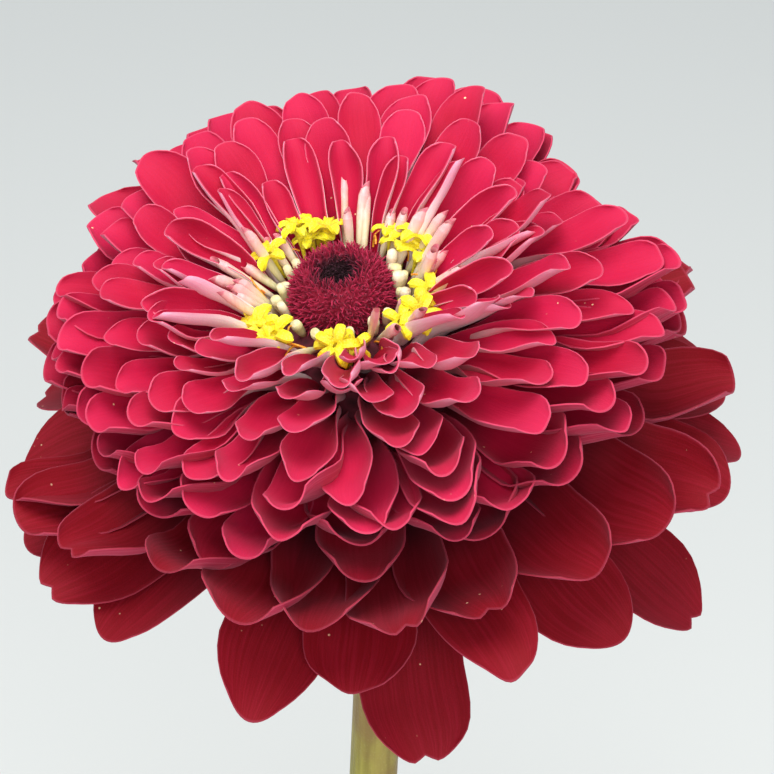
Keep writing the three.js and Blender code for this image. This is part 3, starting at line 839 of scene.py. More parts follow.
# %% Four pairs of leaves
# Each pair: joint, turn, length, width, rise at the root, arch. Lengths in millimetres, angles in degrees.
LEAF_PAIRS = [
    (0, 102, 84, 40, 22, -46),
    (1, 14, 98, 44, 30, -58),
    (2, 106, 80, 36, 24, -58),
    (3, 12, 64, 28, 34, -60),
]
for pair, (joint, turn, length, width, rise, arch) in enumerate(LEAF_PAIRS):
    for opposite in range(2):
        index = 2 * pair + opposite
        size = (length * (1 + 0.05 * shake(index, 51)), width * (1 + 0.05 * shake(index, 52)))
        facing = math.radians(turn + 180 * opposite + 5 * shake(index, 57))
        spot = Matrix.Translation(stem_at(LEAF_JOINTS[joint]) * MM)
        place = spot @ out_from(facing, LEAF_ROOT, 0, 0, 0.12 * shake(index, 58))
        piece = grown(
            leaf,
            place @ rising(rise + 4 * shake(index, 53)),
            (size[0] / LEAF_SIZE[0], mix(0.8, 1.3, share_of(index, 55)), size[1] / LEAF_SIZE[1]),
            arch + 8 * shake(index, 54),
            10 * shake(index, 56),
        )
        node = f"leaf_{pair + 1}{'ab'[opposite]}"
        piece.name = piece.data.name = node + "_blade"
        dressed(piece, leaf_finish, "leaf_green", node)

# %% [markdown]
# Small leafy shoots push out between stem and leaf. Each has a short stalk, two little leaves that
# stand apart, and a bud of still smaller leaves folded over one another at the tip. A stalk is the
# first of several upright pieces, so it brings tools that stand one up, cut it across into rings, pick
# its vertices by their place, and lean it.


# %% Tools for upright pieces
def standing(name, primitive, length, **settings):
    """Adds a cylinder or a cone that stands on the origin."""
    return started(name, primitive, depth=length, location=(0, 0, length / 2), **settings)


def cut_rings(heights):
    """In edit mode, cuts an upright piece across at each height."""
    for height in heights:
        bpy.ops.mesh.select_all(action="SELECT")
        bpy.ops.mesh.bisect(plane_co=(0, 0, height), plane_no=(0, 0, 1))


def pick(test):
    """In edit mode, selects the vertices whose place passes the test."""
    mesh = bmesh.from_edit_mesh(bpy.context.object.data)
    for vertex in mesh.verts:
        vertex.select_set(test(vertex.co))
    mesh.select_flush_mode()


def leaning(degrees, roll=0, spin=0):
    """Tips an upright piece outwards in degrees, after a roll to the side and a spin in radians."""
    tilt = Matrix.Rotation(math.radians(degrees), 4, "Y")
    return tilt @ Matrix.Rotation(roll, 4, "X") @ Matrix.Rotation(spin, 4, "Z")


# %% Side shoots
# A shoot starts this far out from the stem's middle and above the leaf joint.
SHOOT_ROOT = (2, 7)
SHOOT_LEAN = 46
STALK_RADIUS = 1.7
OPEN_LEAF_RISE = 48
BUD_LEAF_RISE = 84
BUD_LEAF_LENGTH = 9
# Each shoot: joint, turn, stalk length, leaf length.
SHOOTS = [(0, 102, 16, 36), (0, 282, 14, 32), (1, 14, 18, 38), (1, 194, 15, 33)]


def shoot_stalk(length):
    """A short tapered stalk standing on the origin."""
    cylinder = {"vertices": 14, "radius": STALK_RADIUS * MM}
    stalk = standing("stalk", bpy.ops.mesh.primitive_cylinder_add, length * MM, **cylinder)
    with editing(stalk):
        for height, scale in ((0.25, 0.86), (0.6, 0.9), (0.85, 1.0)):
            cut_rings([length * height * MM])
            bpy.ops.transform.resize(value=(scale, scale, 1), center_override=(0, 0, 0))
        pick(lambda co: co.z < 0.01 * MM)
        bpy.ops.transform.resize(value=(0.72, 0.72, 1), center_override=(0, 0, 0))
    smoothed(stalk, 60)
    mark(stalk, across=0.06, along=lambda vertex: vertex.co.z / MM / 20, side=1)
    return stalk


for number, (joint, turn, stalk_length, leaf_length) in enumerate(SHOOTS):
    spot = Matrix.Translation(stem_at(LEAF_JOINTS[joint]) * MM)
    base = spot @ out_from(math.radians(turn), *SHOOT_ROOT) @ leaning(SHOOT_LEAN)
    parts = [shoot_stalk(stalk_length)]
    parts[0].data.transform(base)
    for half in range(2):
        size = leaf_length * (1 + 0.08 * shake(number, 61 + half))
        around = out_from(math.radians(90 + 180 * half), 0.6, stalk_length - 2)
        stretch = (size / LEAF_SIZE[0], size / LEAF_SIZE[0], size * 0.42 / LEAF_SIZE[1])
        open_leaf = base @ around @ rising(OPEN_LEAF_RISE)
        parts.append(grown(leaf, open_leaf, stretch, arch=-60, twist=8 * shake(number, 63 + half)))
    for bud in range(4):
        size = (BUD_LEAF_LENGTH - bud * 1.2) / LEAF_SIZE[0]
        around = out_from(math.radians(bud * 90), 1.3 - 0.2 * bud, stalk_length - 2.5 + 0.4 * bud)
        bud_leaf = base @ around @ rising(BUD_LEAF_RISE)
        parts.append(grown(leaf, bud_leaf, (size, size * 2, size * 1.25), arch=40))
    shoot = joined(f"shoot_{number + 1}", parts)
    dressed(shoot, leaf_finish, "leaf_green", f"side_shoot_{number + 1}")
discard(leaf)

# %% [markdown]
# Under the head sits a green cup of bracts in overlapping rows, like tiles: blunt scales with a thin
# dark edge. One scale is modelled and copied round in rows, each row half a step from the one below,
# over a plain cup that carries them.

# %% The cup of bracts
BRACT_ROWS = 4
BRACTS_IN_ROW = 14
BRACT_SIZE = (7.5, 7)
BRACT_THICKNESS = 0.5


def cup_radius(share):
    """The cup's radius in millimetres, from its foot (0) to its rim (1)."""
    return mix(STEM_NECK_RADIUS + 0.6, INVOLUCRE_RADIUS, math.sin(math.pi / 2 * min(1, 1.05 * share)))


cup_outline = [(0, -1)] + [(cup_radius(k / 8) - 0.6, INVOLUCRE_HEIGHT * k / 8) for k in range(9)]
cup_outline += [(INVOLUCRE_RADIUS - 3, INVOLUCRE_HEIGHT + 0.6), (0, INVOLUCRE_HEIGHT + 0.6)]
cup = turned("bract_cup", cup_outline, steps=48)
cup.data.transform(head_frame)
mark(cup, along=0.3, across=0, side=1, tint=0.5)


def bract_half_width(v):
    return mix(0.8, 1, ease(v, 0, 0.6)) * math.sqrt(1 - 0.8 * max(0, v - 0.5) ** 2 * 4)


def blunt_tip(u):
    return 1 - 0.16 * u * u


# %% [markdown]
# A bract bulges outwards from the cup, so a negative scale mirrors the blade, and then its faces,
# which this turns inside out, are flipped back. Each row follows the slope of the cup at its height.

# %% The bracts
bract = blade("bract", (6, 6), BRACT_SIZE, bract_half_width, blunt_tip, cup=55, thickness=BRACT_THICKNESS)
bracts = []
for row in range(BRACT_ROWS):
    for k in range(BRACTS_IN_ROW):
        number = row * BRACTS_IN_ROW + k
        share = (row + 0.15) / BRACT_ROWS * 0.86
        slope = math.atan2(INVOLUCRE_HEIGHT * 0.25, cup_radius(share + 0.25) - cup_radius(share))
        turn = (k + 0.5 * (row % 2)) * 2 * math.pi / BRACTS_IN_ROW + 0.05 * shake(number, 21)
        roll = 0.06 * shake(number, 22)
        place = out_from(turn, cup_radius(share) - 0.1, INVOLUCRE_HEIGHT * share, 0, roll)
        size = mix(0.72, 1.06, row / (BRACT_ROWS - 1))
        piece = grown(bract, Matrix(), (size, -size, size), arch=26)
        piece.data.flip_normals()
        piece.data.transform(head_frame @ place @ rising(math.degrees(slope) - 4))
        mark(piece, tint=share_of(number, 23))
        bracts.append(piece)
involucre = joined("bracts", [cup] + bracts)
discard(bract)

# %% [markdown]
# A bract is pale at its base, finely fibred along its length, and edged in dark brown as if scorched.
# The edge is found from how far across and along the blade a point is.

# %% Bract green
scaly = Finish("bract_scales", Roughness=0.5, Subsurface_Weight=0.05)
across, along, tint = scaly.attributes("across", "along", "tint")
rim = abs(across).above(0.8, 0.98).most(along.above(0.86, 0.98))
fibres = scaly.noise(scaly.vector(across * 14, along * 1.5, tint * 9), 1, 2)
green = scaly.blend(fibres.above(0.35, 0.65), (0.08, 0.15, 0.03), (0.18, 0.28, 0.07))
pale_base = scaly.blend(1 - along.above(0.1, 0.6), green, (0.3, 0.38, 0.13))
edged = scaly.blend(rim * (0.6 + tint * 0.4), pale_base, (0.035, 0.018, 0.012))
bract_finish = scaly.finished(Base_Color=edged, Normal=scaly.bump(fibres, 0.4, 0.3 * MM))
dressed(involucre, bract_finish, "bract_green", "involucre")

# %% [markdown]
# The head itself is a blunt cone that the petals and florets stand on. Only its dark skin shows, deep
# between the petals, where chaffy bracts are packed. It is turned from an outline as the pot is.

# %% The receptacle
core_outline = [(0, 9.4), (13.6, 9.4), (17.6, 12.5), (21, 17.5), (22.5, 24), (21, 29.6)]
core_outline += [(17.6, 33.8), (13.8, 36.2), (9, RECEPTACLE_TOP), (0, RECEPTACLE_TOP)]
core = turned("receptacle", core_outline, steps=40, smooth_angle=80)
core.data.transform(head_frame)
chaff = Finish("chaffy_skin", Roughness=0.9)
scales = chaff.cells(chaff.object_place(), 650)
chaff_finish = chaff.finished(
    Base_Color=chaff.blend(scales, (0.03, 0.004, 0.006), (0.16, 0.012, 0.03)),
    Normal=chaff.bump(scales, 0.8, 0.8 * MM),
)

# %% [markdown]
# The petals are the ray florets. In a double bloom they cover the head in a spiral, each a golden turn
# from the last: below them a skirt of long, broad, drooping ones, then a dome of shorter scoops that
# get narrower, steeper and more tightly rolled towards the middle. A few prototypes are modelled, and
# each copy is stretched, twisted and arched by its own amount before it is placed.

# %% The petals that all petals are copied from
PETAL_THICKNESS = 0.22


def rounded_end(v, start):
    """Narrows the end of a blade along an ellipse, to a bit over half of its width."""
    return math.sqrt(1 - 0.7 * (max(0, v - start) / (1 - start)) ** 2)


def petal_half_width(v):
    return mix(0.42, 1, ease(v, 0, 0.68)) * rounded_end(v, 0.77)


def narrow_half_width(v):
    return mix(0.6, 1, ease(v, 0, 0.7)) * rounded_end(v, 0.77)


def round_tip(u):
    return 1 - 0.06 * u * u


def notched_tip(u):
    return 1 - 0.06 * u * u - 0.03 * math.exp(-((u / 0.22) ** 2))


def wavy_tip(u):
    return 0.995 - 0.06 * u * u + 0.006 * math.sin(5 * u + 0.6)


def petal_set(name, grid, size, cup, flare, spoon, half_width=petal_half_width):
    """Three blades alike but for their tips. flare is the share of the cup that is left at the tip."""

    def cup_share(v):
        return mix(1, flare, ease(v, 0.35, 1))

    petals = []
    for tip in (round_tip, notched_tip, wavy_tip):
        petals.append(blade(name, grid, size, half_width, tip, cup, PETAL_THICKNESS, cup_share, spoon))
    return petals


SKIRT_PETAL = (44, 17)
DOME_PETAL = (28, 13)
INNER_PETAL = (18, 8)
low_skirt_petals = petal_set("low_skirt_petal", (15, 12), SKIRT_PETAL, cup=60, flare=0.5, spoon=2)
high_skirt_petals = petal_set("high_skirt_petal", (15, 12), SKIRT_PETAL, cup=125, flare=0.7, spoon=9)
dome_petals = petal_set("dome_petal", (13, 12), DOME_PETAL, cup=165, flare=0.66, spoon=6.8)
gutter_petals = petal_set("gutter_petal", (13, 12), DOME_PETAL, cup=260, flare=0.36, spoon=4.5)
inner_petals = petal_set(
    "inner_petal", (12, 10), INNER_PETAL, cup=230, flare=0.6, spoon=1.6, half_width=narrow_half_width
)
print("faces in a dome petal:", len(dome_petals[0].data.polygons))

# %% [markdown]
# In a golden spiral no petal ever stands straight above another. From the oldest petal to the youngest
# each measure runs through a few stations, and small draws give every petal its own length, width,
# cup and lean. Petals reach some way into the head, so that no gap shows at their roots.

# %% Placing petals on the spiral
PETAL_SUNK = 4.5


def along_stations(stations, t):
    """Reads a value off evenly spaced stations, t from 0 at the first to 1 at the last."""
    place = min(1, max(0, t)) * (len(stations) - 1)
    low = min(int(place), len(stations) - 2)
    return mix(stations[low], stations[low + 1], place - low)


def petal_ring(name, storeys, count, salt, **rings):
    """Copies petals along a golden spiral.

    storeys lists the sets of prototypes from the lowest petals to the highest. rings holds the size of
    the prototype and stations from the outermost petal to the innermost: radius and height of the
    roots, rise and arch in degrees, length and width in millimetres, cup as a share of the prototype's,
    and age, which counts backwards to 0 in the oldest. tips picks the kind of tip in turn. by_turn
    lengthens petals by their direction, from the right over the back to the left and the front.
    levelled takes out some of the head's lean, hang lets the front petals droop, flat_back opens the
    petals at the back, and by_eye sets the direction and droop of single petals, both in degrees.
    """

    def at(key):
        return along_stations(rings[key], t)

    petals = []
    base_length, base_width = rings["size"]
    for k in range(count):
        t = (k + 0.5) / count
        draw = [shake(k, salt + slot) for slot in range(10)]
        turn = k * GOLDEN_TURN + 0.05 * draw[5]
        lean = HEAD_LEAN_FRONT * math.sin(-turn) - HEAD_LEAN_LEFT * math.cos(turn)
        droop = rings.get("hang", 0) * (1 - t) * max(0, -math.sin(turn)) ** 2
        if k in rings.get("by_eye", {}):
            degrees, droop = rings["by_eye"][k]
            turn = math.radians(degrees)
        rise = at("rise") + 3 * draw[3] + rings.get("levelled", 0) * lean - droop
        bias = along_stations(rings.get("by_turn", [0, 0]), turn / (2 * math.pi) % 1)
        length = at("length") * (1 + 0.06 * draw[1] + bias) + PETAL_SUNK
        width = at("width") * (1 + 0.08 * draw[2])
        radius = at("radius") - PETAL_SUNK * math.cos(math.radians(rise))
        height = at("height") - PETAL_SUNK * math.sin(math.radians(rise))
        flatter = 1 - rings.get("flat_back", 0) * max(0, math.sin(turn))
        cup = at("cup") * (1 + 0.2 * draw[6]) * flatter
        place = head_frame @ out_from(turn, radius, height, 0.1 * draw[6], 0.2 * draw[7]) @ rising(rise)
        stretch = (length / base_length, cup * width / base_width, width / base_width)
        kinds = storeys[int(t * len(storeys))]
        kind = kinds[rings["tips"][k % len(rings["tips"])]]
        petal = grown(kind, place, stretch, at("arch") + 6 * draw[4], rings["twist"] * draw[8])
        mark(petal, tint=(draw[9] + 1) / 2, age=at("age"))
        petals.append(petal)
    print(name, count, "petals, widest", round(max(rings["width"]), 1), "mm")
    return joined(name, petals)


# %% [markdown]
# The skirt is the oldest petals: broad, long and dark, the darkness partly painted shade, the lower
# ones nearly flat and the upper ones spoons. Those that show in front are set one by one, and the rest
# fall where the spiral puts them.

# %% The skirt
skirt = petal_ring(
    "skirt_petals",
    [low_skirt_petals, high_skirt_petals],
    count=46,
    salt=60,
    size=SKIRT_PETAL,
    tips=(0, 2, 1, 2, 0, 1, 0),
    radius=[17.5, 22.5],
    height=[12, 20],
    rise=[3, 13],
    arch=[-32, -36],
    length=[44, 37, 30],
    width=[17.5, 18, 19.5, 19],
    cup=[0.8, 0.85, 0.85],
    age=[0.08, 0.06, 0.02, 0],
    twist=10,
    levelled=0.85,
    hang=9,
    by_turn=[0.02, 0, 0, 0, 0, 0, 0, 0, 0, 0, 0, 0, 0, 0.03, 0.06, 0.08, 0.02],
    by_eye={
        7: (254, 6), 15: (269, 7), 2: (276, 17), 10: (288, -8), 18: (311, 10), 5: (337, 18),
        25: (206, 2), 28: (257, -6), 36: (263.4, 3), 23: (278, -10), 44: (291, 4),
        31: (309.5, -4), 38: (202, 8), 17: (180, 4), 4: (199, 4), 34: (354, 6),
    },
)

# %% [markdown]
# The dome's petals are scoops below and gutters above, where the margins are still rolled in and show
# the pale back. One storey between the two has some of each.

# %% The dome
some_gutters = [dome_petals[0], dome_petals[1], gutter_petals[2]]
dome = petal_ring(
    "dome_petals",
    [dome_petals, dome_petals, some_gutters, gutter_petals, gutter_petals],
    count=168,
    salt=70,
    size=DOME_PETAL,
    tips=(0, 2, 0, 0, 2),
    radius=[22.5, 22.5, 20.5, 17.8, 14.8],
    height=[22.8, 27, 31, 34.2, 36.3],
    rise=[24, 34, 45, 56, 62],
    arch=[-42, -46, -54, -52, -40],
    length=[25, 29.5, 29.5, 24.5, 18],
    width=[19, 15.5, 12.8, 11.8, 10],
    cup=[0.65, 0.78, 0.82, 0.74, 0.7],
    age=[0.1, 0.34, 0.5, 0.6, 0.75],
    twist=14,
    by_turn=[
        0.1, -0.28, -0.04, 0.15, 0.14, 0.1, 0.15, -0.22,
        -0.14, -0.24, -0.2, -0.1, -0.04, -0.02, 0.01, 0.06, 0.1,
    ],
    by_eye={87: (84, 9), 76: (11, 9), 49: (254.5, 0), 36: (273, 0)},
    flat_back=0.45,
)

# %% [markdown]
# Round the disc stand the youngest petals that have opened, short and curled. They are copies of a
# narrower prototype, so that the disc shows between them.

# %% The petals round the disc
inner = petal_ring(
    "inner_petals",
    [inner_petals],
    count=28,
    salt=80,
    size=INNER_PETAL,
    tips=(0, 2, 0),
    radius=[14.6, 12.6],
    height=[36.4, 37.2],
    rise=[58, 62],
    arch=[-46, -36],
    length=[21, 15],
    width=[8.8, 7],
    cup=[1, 1],
    age=[0.8, 1],
    twist=40,
)

# %% [markdown]
# Copies of one prototype still look like copies. So each ring of petals is warped as a whole by a soft
# noise, which bends every petal in its own way but moves neighbours together.


# %% Warping the rings of petals
def jostle(piece, size, amount):
    """Warps a whole piece by a soft coloured noise, so that no two copies stay alike."""
    noise = bpy.data.textures.new(piece.name + "_noise", "CLOUDS")
    noise.noise_scale = size * MM
    noise.noise_depth = 0
    noise.cloud_type = "COLOR"
    warp = {"texture_coords": "LOCAL", "direction": "RGB_TO_XYZ", "strength": amount * MM, "mid_level": 0.5}
    apply_modifier(piece, "DISPLACE", texture=noise, **warp)


for piece, size, amount in ((skirt, 14, 2), (dome, 12, 2.2), (inner, 9, 1.2)):
    jostle(piece, size, amount)
discard(*low_skirt_petals, *high_skirt_petals, *dome_petals, *gutter_petals, *inner_petals)
print("vertices in the skirt:", len(skirt.data.vertices))

# %% [markdown]
# A zinnia petal is velvet: tiny blunt cells stand on its upper face and catch light at a slant, so it
# takes sheen and a very fine bump. Fine veins run along it. The colour is deepest at the base, partly its
# own and partly painted shade, near black on the old petals that lie in the dome's shade. A painted
# highlight lightens a band inside the edge and the tip, and the rim is a thin pale line of painted edge
# highlight. The old petals are darker all over, partly by painted shade. The back is duller on the old
# petals and nearly white on the young ones.

# %% Crimson velvet
petal = Finish(
    "petal_velvet",
    Roughness=0.66,
    Specular_IOR_Level=0.15,
    Subsurface_Weight=0.12,
    Subsurface_Radius=(4 * MM, 0.6 * MM, 1 * MM),
    Sheen_Weight=0.13,
    Sheen_Roughness=0.45,
    Sheen_Tint=(1.0, 0.45, 0.6),
)
across, along, side, tint, age = petal.attributes("across", "along", "side", "tint", "age")
place = petal.object_place()
streaks = petal.noise(petal.vector(across * 22, along * 3, tint * 40), 1, 3, 0.6)
cloud = petal.noise(place, 120, 3, 0.6)
# Painted edge highlight: a thin pale line along the rim, from mid-petal to the tip, and across the tip.
rim = (abs(across).above(0.97, 1.0) * along.above(0.3, 0.65)).most(along.above(0.99, 1.0))
face = petal.blend(tint, (0.43, 0.003, 0.03), (0.52, 0.007, 0.055))
# The old, outer petals are darker: partly their own age, partly painted shade for the skirt and the dome's
# lowest petals.
aged_and_shaded = petal.blend(age.above(0.05, 0.35), (0.205, 0.002, 0.007), face)
streaked = petal.blend(streaks.above(0.35, 0.75) * 0.1, aged_and_shaded, (0.8, 0.03, 0.1))
# Painted highlight: a lighter band inside the edge and the tip stands for the velvet's sheen there; the old
# petals get none.
edge_highlight = abs(across).above(0.5, 1.0).most(along.above(0.8, 1.0)) * age.above(0.05, 0.3)
edge_highlighted = petal.blend(edge_highlight * 0.2, streaked, (0.72, 0.04, 0.12))
# Painted shade: the bases are darkened, most on the old petals under the dome, partly their own darker
# base.
base_shade_mask = 1 - (along + age * 0.95).above(0.4, 0.86)
shadow = petal.blend(age.above(0.1, 0.35), (0.05, 0.001, 0.005), (0.2, 0.003, 0.015))
deep = petal.blend(base_shade_mask * 0.92, edge_highlighted, shadow)
old_back = petal.blend(streaks.above(0.4, 0.7) * 0.5, (0.42, 0.02, 0.06), (0.6, 0.1, 0.16))
pinker = along.above(0.45, 0.95) * 0.75 + streaks.above(0.35, 0.7) * 0.2
young_back = petal.blend(pinker, (0.98, 0.84, 0.8), (0.85, 0.27, 0.42))
back = petal.blend(age.above(0.45, 0.75), old_back, young_back)
two_sided = petal.blend(side.above(0.0, 0.35), back, deep)
# The painted edge highlight is mixed in, stronger on the young petals.
rim_highlighted = petal.blend(rim * (0.1 + age * 0.17), two_sided, (0.85, 0.2, 0.32))
specks = 1 - petal.cells(place, 420).above(0.05, 0.1)
specked = petal.blend(specks * cloud.above(0.56, 0.62), rim_highlighted, (0.95, 0.66, 0.4))
cells = petal.noise(place, 3500, 2)
relief = petal.bump(streaks, 0.11, 0.3 * MM, petal.bump(cells, 0.3, 0.12 * MM))
petal_finish = petal.finished(Base_Color=specked, Normal=relief)
dressed(core, chaff_finish, "crimson_petal", "petals")
for piece in (skirt, dome, inner):
    dressed(piece, petal_finish, "crimson_petal", "petals")

# %% [markdown]
# The youngest rays have not opened. Some are still small waxy clubs against the cone, and others are
# slim tubes, rolled from one petal, with a slanted mouth that shows the red inside. A tube is a
# cylinder that is cut into rings, narrowed to its base, slanted at the mouth and given a wall.


# %% Cylinders cut into rings
def ringed(name, rings, sides, capped=True):
    """A cylinder on the origin, one unit high, cut into rings of the given heights and radii."""
    cylinder = {"vertices": sides, "radius": 1, "end_fill_type": "NGON" if capped else "NOTHING"}
    piece = standing(name, bpy.ops.mesh.primitive_cylinder_add, 1, **cylinder)
    with editing(piece):
        cut_rings([height for height, _ in rings[1:-1]])
        for height, radius in rings:
            pick(lambda co: abs(co.z - height) < 0.02)
            bpy.ops.transform.resize(value=(radius, radius, 1), center_override=(0, 0, 0))
    return piece


def dimple(piece, rim, depth):
    """Presses in the top of a capped cylinder, all but a rim."""
    with editing(piece):
        bpy.ops.mesh.select_all(action="DESELECT")
        mesh = bmesh.from_edit_mesh(piece.data)
        for face in mesh.faces:
            face.select_set(face.normal.z > 0.9)
        bpy.ops.mesh.inset(thickness=rim)
        bpy.ops.transform.translate(value=(0, 0, -depth))


# %% A rolled tube and a bud
RAY_BASE = RECEPTACLE_TOP - 0.3
RAY_WALL = 0.24
# Each ring: its height and its radius, as shares of the whole.
TUBE_RINGS = ((0, 0.42), (0.3, 0.72), (0.6, 0.95), (0.85, 1.0), (1, 0.66))
BUD_RINGS = ((0, 0.5), (0.35, 0.8), (0.7, 1.0), (0.9, 0.85), (1, 0.5))
tube = ringed("rolled_tube", TUBE_RINGS, sides=14, capped=False)
with editing(tube):
    pick(lambda co: co.z > 0.98)
    slant = {"orient_axis": "Y", "center_override": (0, 0, 1), "constraint_axis": (False, True, False)}
    bpy.ops.transform.rotate(value=math.radians(5), **slant)
    pick(lambda co: co.z < 0.01)
    bpy.ops.mesh.edge_face_add()
    bpy.ops.mesh.select_all(action="SELECT")
    bpy.ops.mesh.normals_make_consistent(inside=False)
tube.data.transform(Matrix.Diagonal((MM, MM, MM, 1)))
outer = len(tube.data.vertices)
apply_modifier(tube, "SOLIDIFY", thickness=RAY_WALL * MM, offset=-1)
mark(tube, inside=lambda vertex: float(vertex.index >= outer), along=lambda vertex: vertex.co.z / MM)
smoothed(tube, 50)

bud = ringed("ray_bud", BUD_RINGS, sides=12)
dimple(bud, rim=0.15, depth=0.05)
smoothed(bud, 60)
bud.data.transform(Matrix.Diagonal((MM, MM, MM, 1)))
mark(bud, along=0.25)
mark(bud, inside=lambda vertex: 0.7 * (vertex.co.z > 0.9 * MM and vertex.co.xy.length < 0.4 * MM))
print("faces in a tube and in a bud:", len(tube.data.polygons), len(bud.data.polygons))

# %% [markdown]
# The tubes lean outwards in loose groups, and the buds stand nearly upright inside them, against the
# cone. A table gives each measure its middle and its spread, and the draws do the rest.

# %% The ring of young rays
# Tilt in degrees, then length, radius and distance from the axis. Each: its middle, spread and salt.
TUBE_MEASURES = ((40, 15, 35), (10.5, 3.2, 32), (0.9, 0.14, 33), (10.4, 0.8, 36))
BUD_MEASURES = ((14, 6, 35), (4.6, 1.2, 31), (0.9, 0.15, 33), (8.7, 0.4, 36))
# They stand in groups. Each group: first and last turn in degrees, how many, whether they are buds.
RAY_GROUPS = [
    (70, 92, 4, False), (28, 62, 4, False), (-14, 22, 6, False), (124, 150, 3, False),
    (152, 200, 7, False), (205, 262, 2, False), (284, 330, 4, False),
    (64, 112, 3, True), (-16, 44, 7, True), (126, 204, 6, True), (214, 330, 6, True),
]
places = [
    (mix(first, last, (step + 0.5) / count), is_bud)
    for first, last, count, is_bud in RAY_GROUPS
    for step in range(count)
]
rays = []
for k, (angle, is_bud) in enumerate(places):
    measures = BUD_MEASURES if is_bud else TUBE_MEASURES
    tilt, length, radius, ring = (middle + spread * shake(k, salt) for middle, spread, salt in measures)
    turn = math.radians(angle + 2.5 * shake(k, 34))
    piece = copy_of(bud if is_bud else tube, Matrix.Diagonal((radius, radius * 0.85, length, 1)))
    if not is_bud:
        deform(piece, "BEND", "Y", 14 * shake(k, 38))
    root = out_from(turn, ring, RAY_BASE, 0.1 * shake(k, 39))
    piece.data.transform(head_frame @ root @ leaning(tilt, 0, math.pi + 0.9 * shake(k, 37)))
    mark(piece, tint=share_of(k, 40))
    rays.append(piece)
young_rays = joined("rolled_rays", rays)
discard(tube, bud)

# %% [markdown]
# Young rays look like wax: some light goes into them and comes out again, which is what Subsurface
# does. They are cream below and pink above, with a red lip, and crimson inside the roll.

# %% Young ray cream
waxy = Finish(
    "young_ray",
    Roughness=0.4,
    Subsurface_Weight=0.2,
    Subsurface_Radius=(1.5 * MM, 0.9 * MM, 0.6 * MM),
)
along, inside, tint = waxy.attributes("along", "inside", "tint")
stretched = waxy.node("ShaderNodeMapping", {}, {"Vector": waxy.object_place(), "Scale": (1, 1, 0.3)})
ribs = waxy.noise(stretched, 900, 2)
cream = waxy.blend(tint, (0.7, 0.64, 0.3), (0.86, 0.68, 0.48))
pink = waxy.blend(along.above(0.35, 0.95), cream, (0.86, 0.42, 0.42))
ribbed = waxy.blend(ribs.above(0.45, 0.7) * 0.35, pink, (0.93, 0.8, 0.72))
lip = waxy.blend(along.above(0.965, 0.99) * 0.7, ribbed, (0.7, 0.12, 0.2))
lined = waxy.blend(inside, lip, (0.42, 0.012, 0.05))
ray_finish = waxy.finished(Base_Color=lined, Normal=waxy.bump(ribs, 0.3, 0.25 * MM))
dressed(young_rays, ray_finish, "cream_ray", "young_rays")

# %% [markdown]
# The disc florets open from the edge of the disc inwards: bright yellow tubes with five strap-shaped
# lobes that curl back like a star. A lobe is a small blade, and five of them stand round a short
# funnel.

# %% One open floret
LOBES = 5
LOBE_SIZE = (3.2, 1.75)
LOBE_THICKNESS = 0.5
FUNNEL_RADIUS = 0.9
FUNNEL_HEIGHT = 4.6


def lobe_half_width(v):
    return mix(0.8, 1, ease(v, 0, 0.5)) * rounded_end(v, 0.7)


def lobe_tip(u):
    return 1 - 0.1 * u * u


lobe = blade("lobe", (6, 4), LOBE_SIZE, lobe_half_width, lobe_tip, cup=60, thickness=LOBE_THICKNESS)
funnel = ringed("funnel", ((0, 0.35), (0.5, 0.5), (0.8, 0.8), (1, 1.05)), sides=10)
dimple(funnel, rim=0.3, depth=0.2)
smoothed(funnel, 50)
funnel.data.transform(Matrix.Diagonal((FUNNEL_RADIUS * MM, FUNNEL_RADIUS * MM, FUNNEL_HEIGHT * MM, 1)))
mark(funnel, along=0.2, across=0.2, side=0.2)
parts = [funnel]
for k in range(LOBES):
    root = out_from(k * 2 * math.pi / LOBES, FUNNEL_RADIUS - 0.15, FUNNEL_HEIGHT - 0.1)
    parts.append(grown(lobe, root @ rising(48), arch=-105))
star = joined("star", parts)
discard(lobe)
print("floret faces:", len(star.data.polygons))

# %% [markdown]
# Florets open in bunches, not evenly, so their directions round the disc are listed. Each is a
# copy of the star with a size, a height and a lean of its own.

# %% Groups of florets
# Directions of the florets in degrees: those next to the disc, then those behind them.
FRONT_ROW = [30, 43, 56, 102, 111, 120, 139, 206, 220, 234, 264, 281, 314, 332, 352]
BACK_ROW = [36, 50, 106, 116, 212, 227, 273, 322]
FRONT_RING = 12.2
BACK_RING = 13.2
florets = []
for k, angle in enumerate(FRONT_ROW + BACK_ROW):
    ring = FRONT_RING if k < len(FRONT_ROW) else BACK_RING
    turn = math.radians(angle + 3 * shake(k, 45))
    size = 0.92 + 0.14 * shake(k, 46)
    lean = leaning(24 + 10 * shake(k, 42), 0.25 * shake(k, 43), shake(k, 44))
    root = out_from(turn, ring + 0.5 * shake(k, 47), RECEPTACLE_TOP + 0.6 * shake(k, 41))
    shape = Matrix.Diagonal((size, size, 1.05 + 0.15 * shake(k, 41), 1))
    piece = copy_of(star, head_frame @ root @ lean @ shape)
    mark(piece, tint=share_of(k, 48))
    florets.append(piece)
disc_florets = joined("yellow_stars", florets)
discard(star)

# %% [markdown]
# Between the florets hang the orange stigmas, thin curled threads. A cylinder can't bend where it has
# no vertices, so it is cut across into rings first, and then each copy is bent by its own amount.

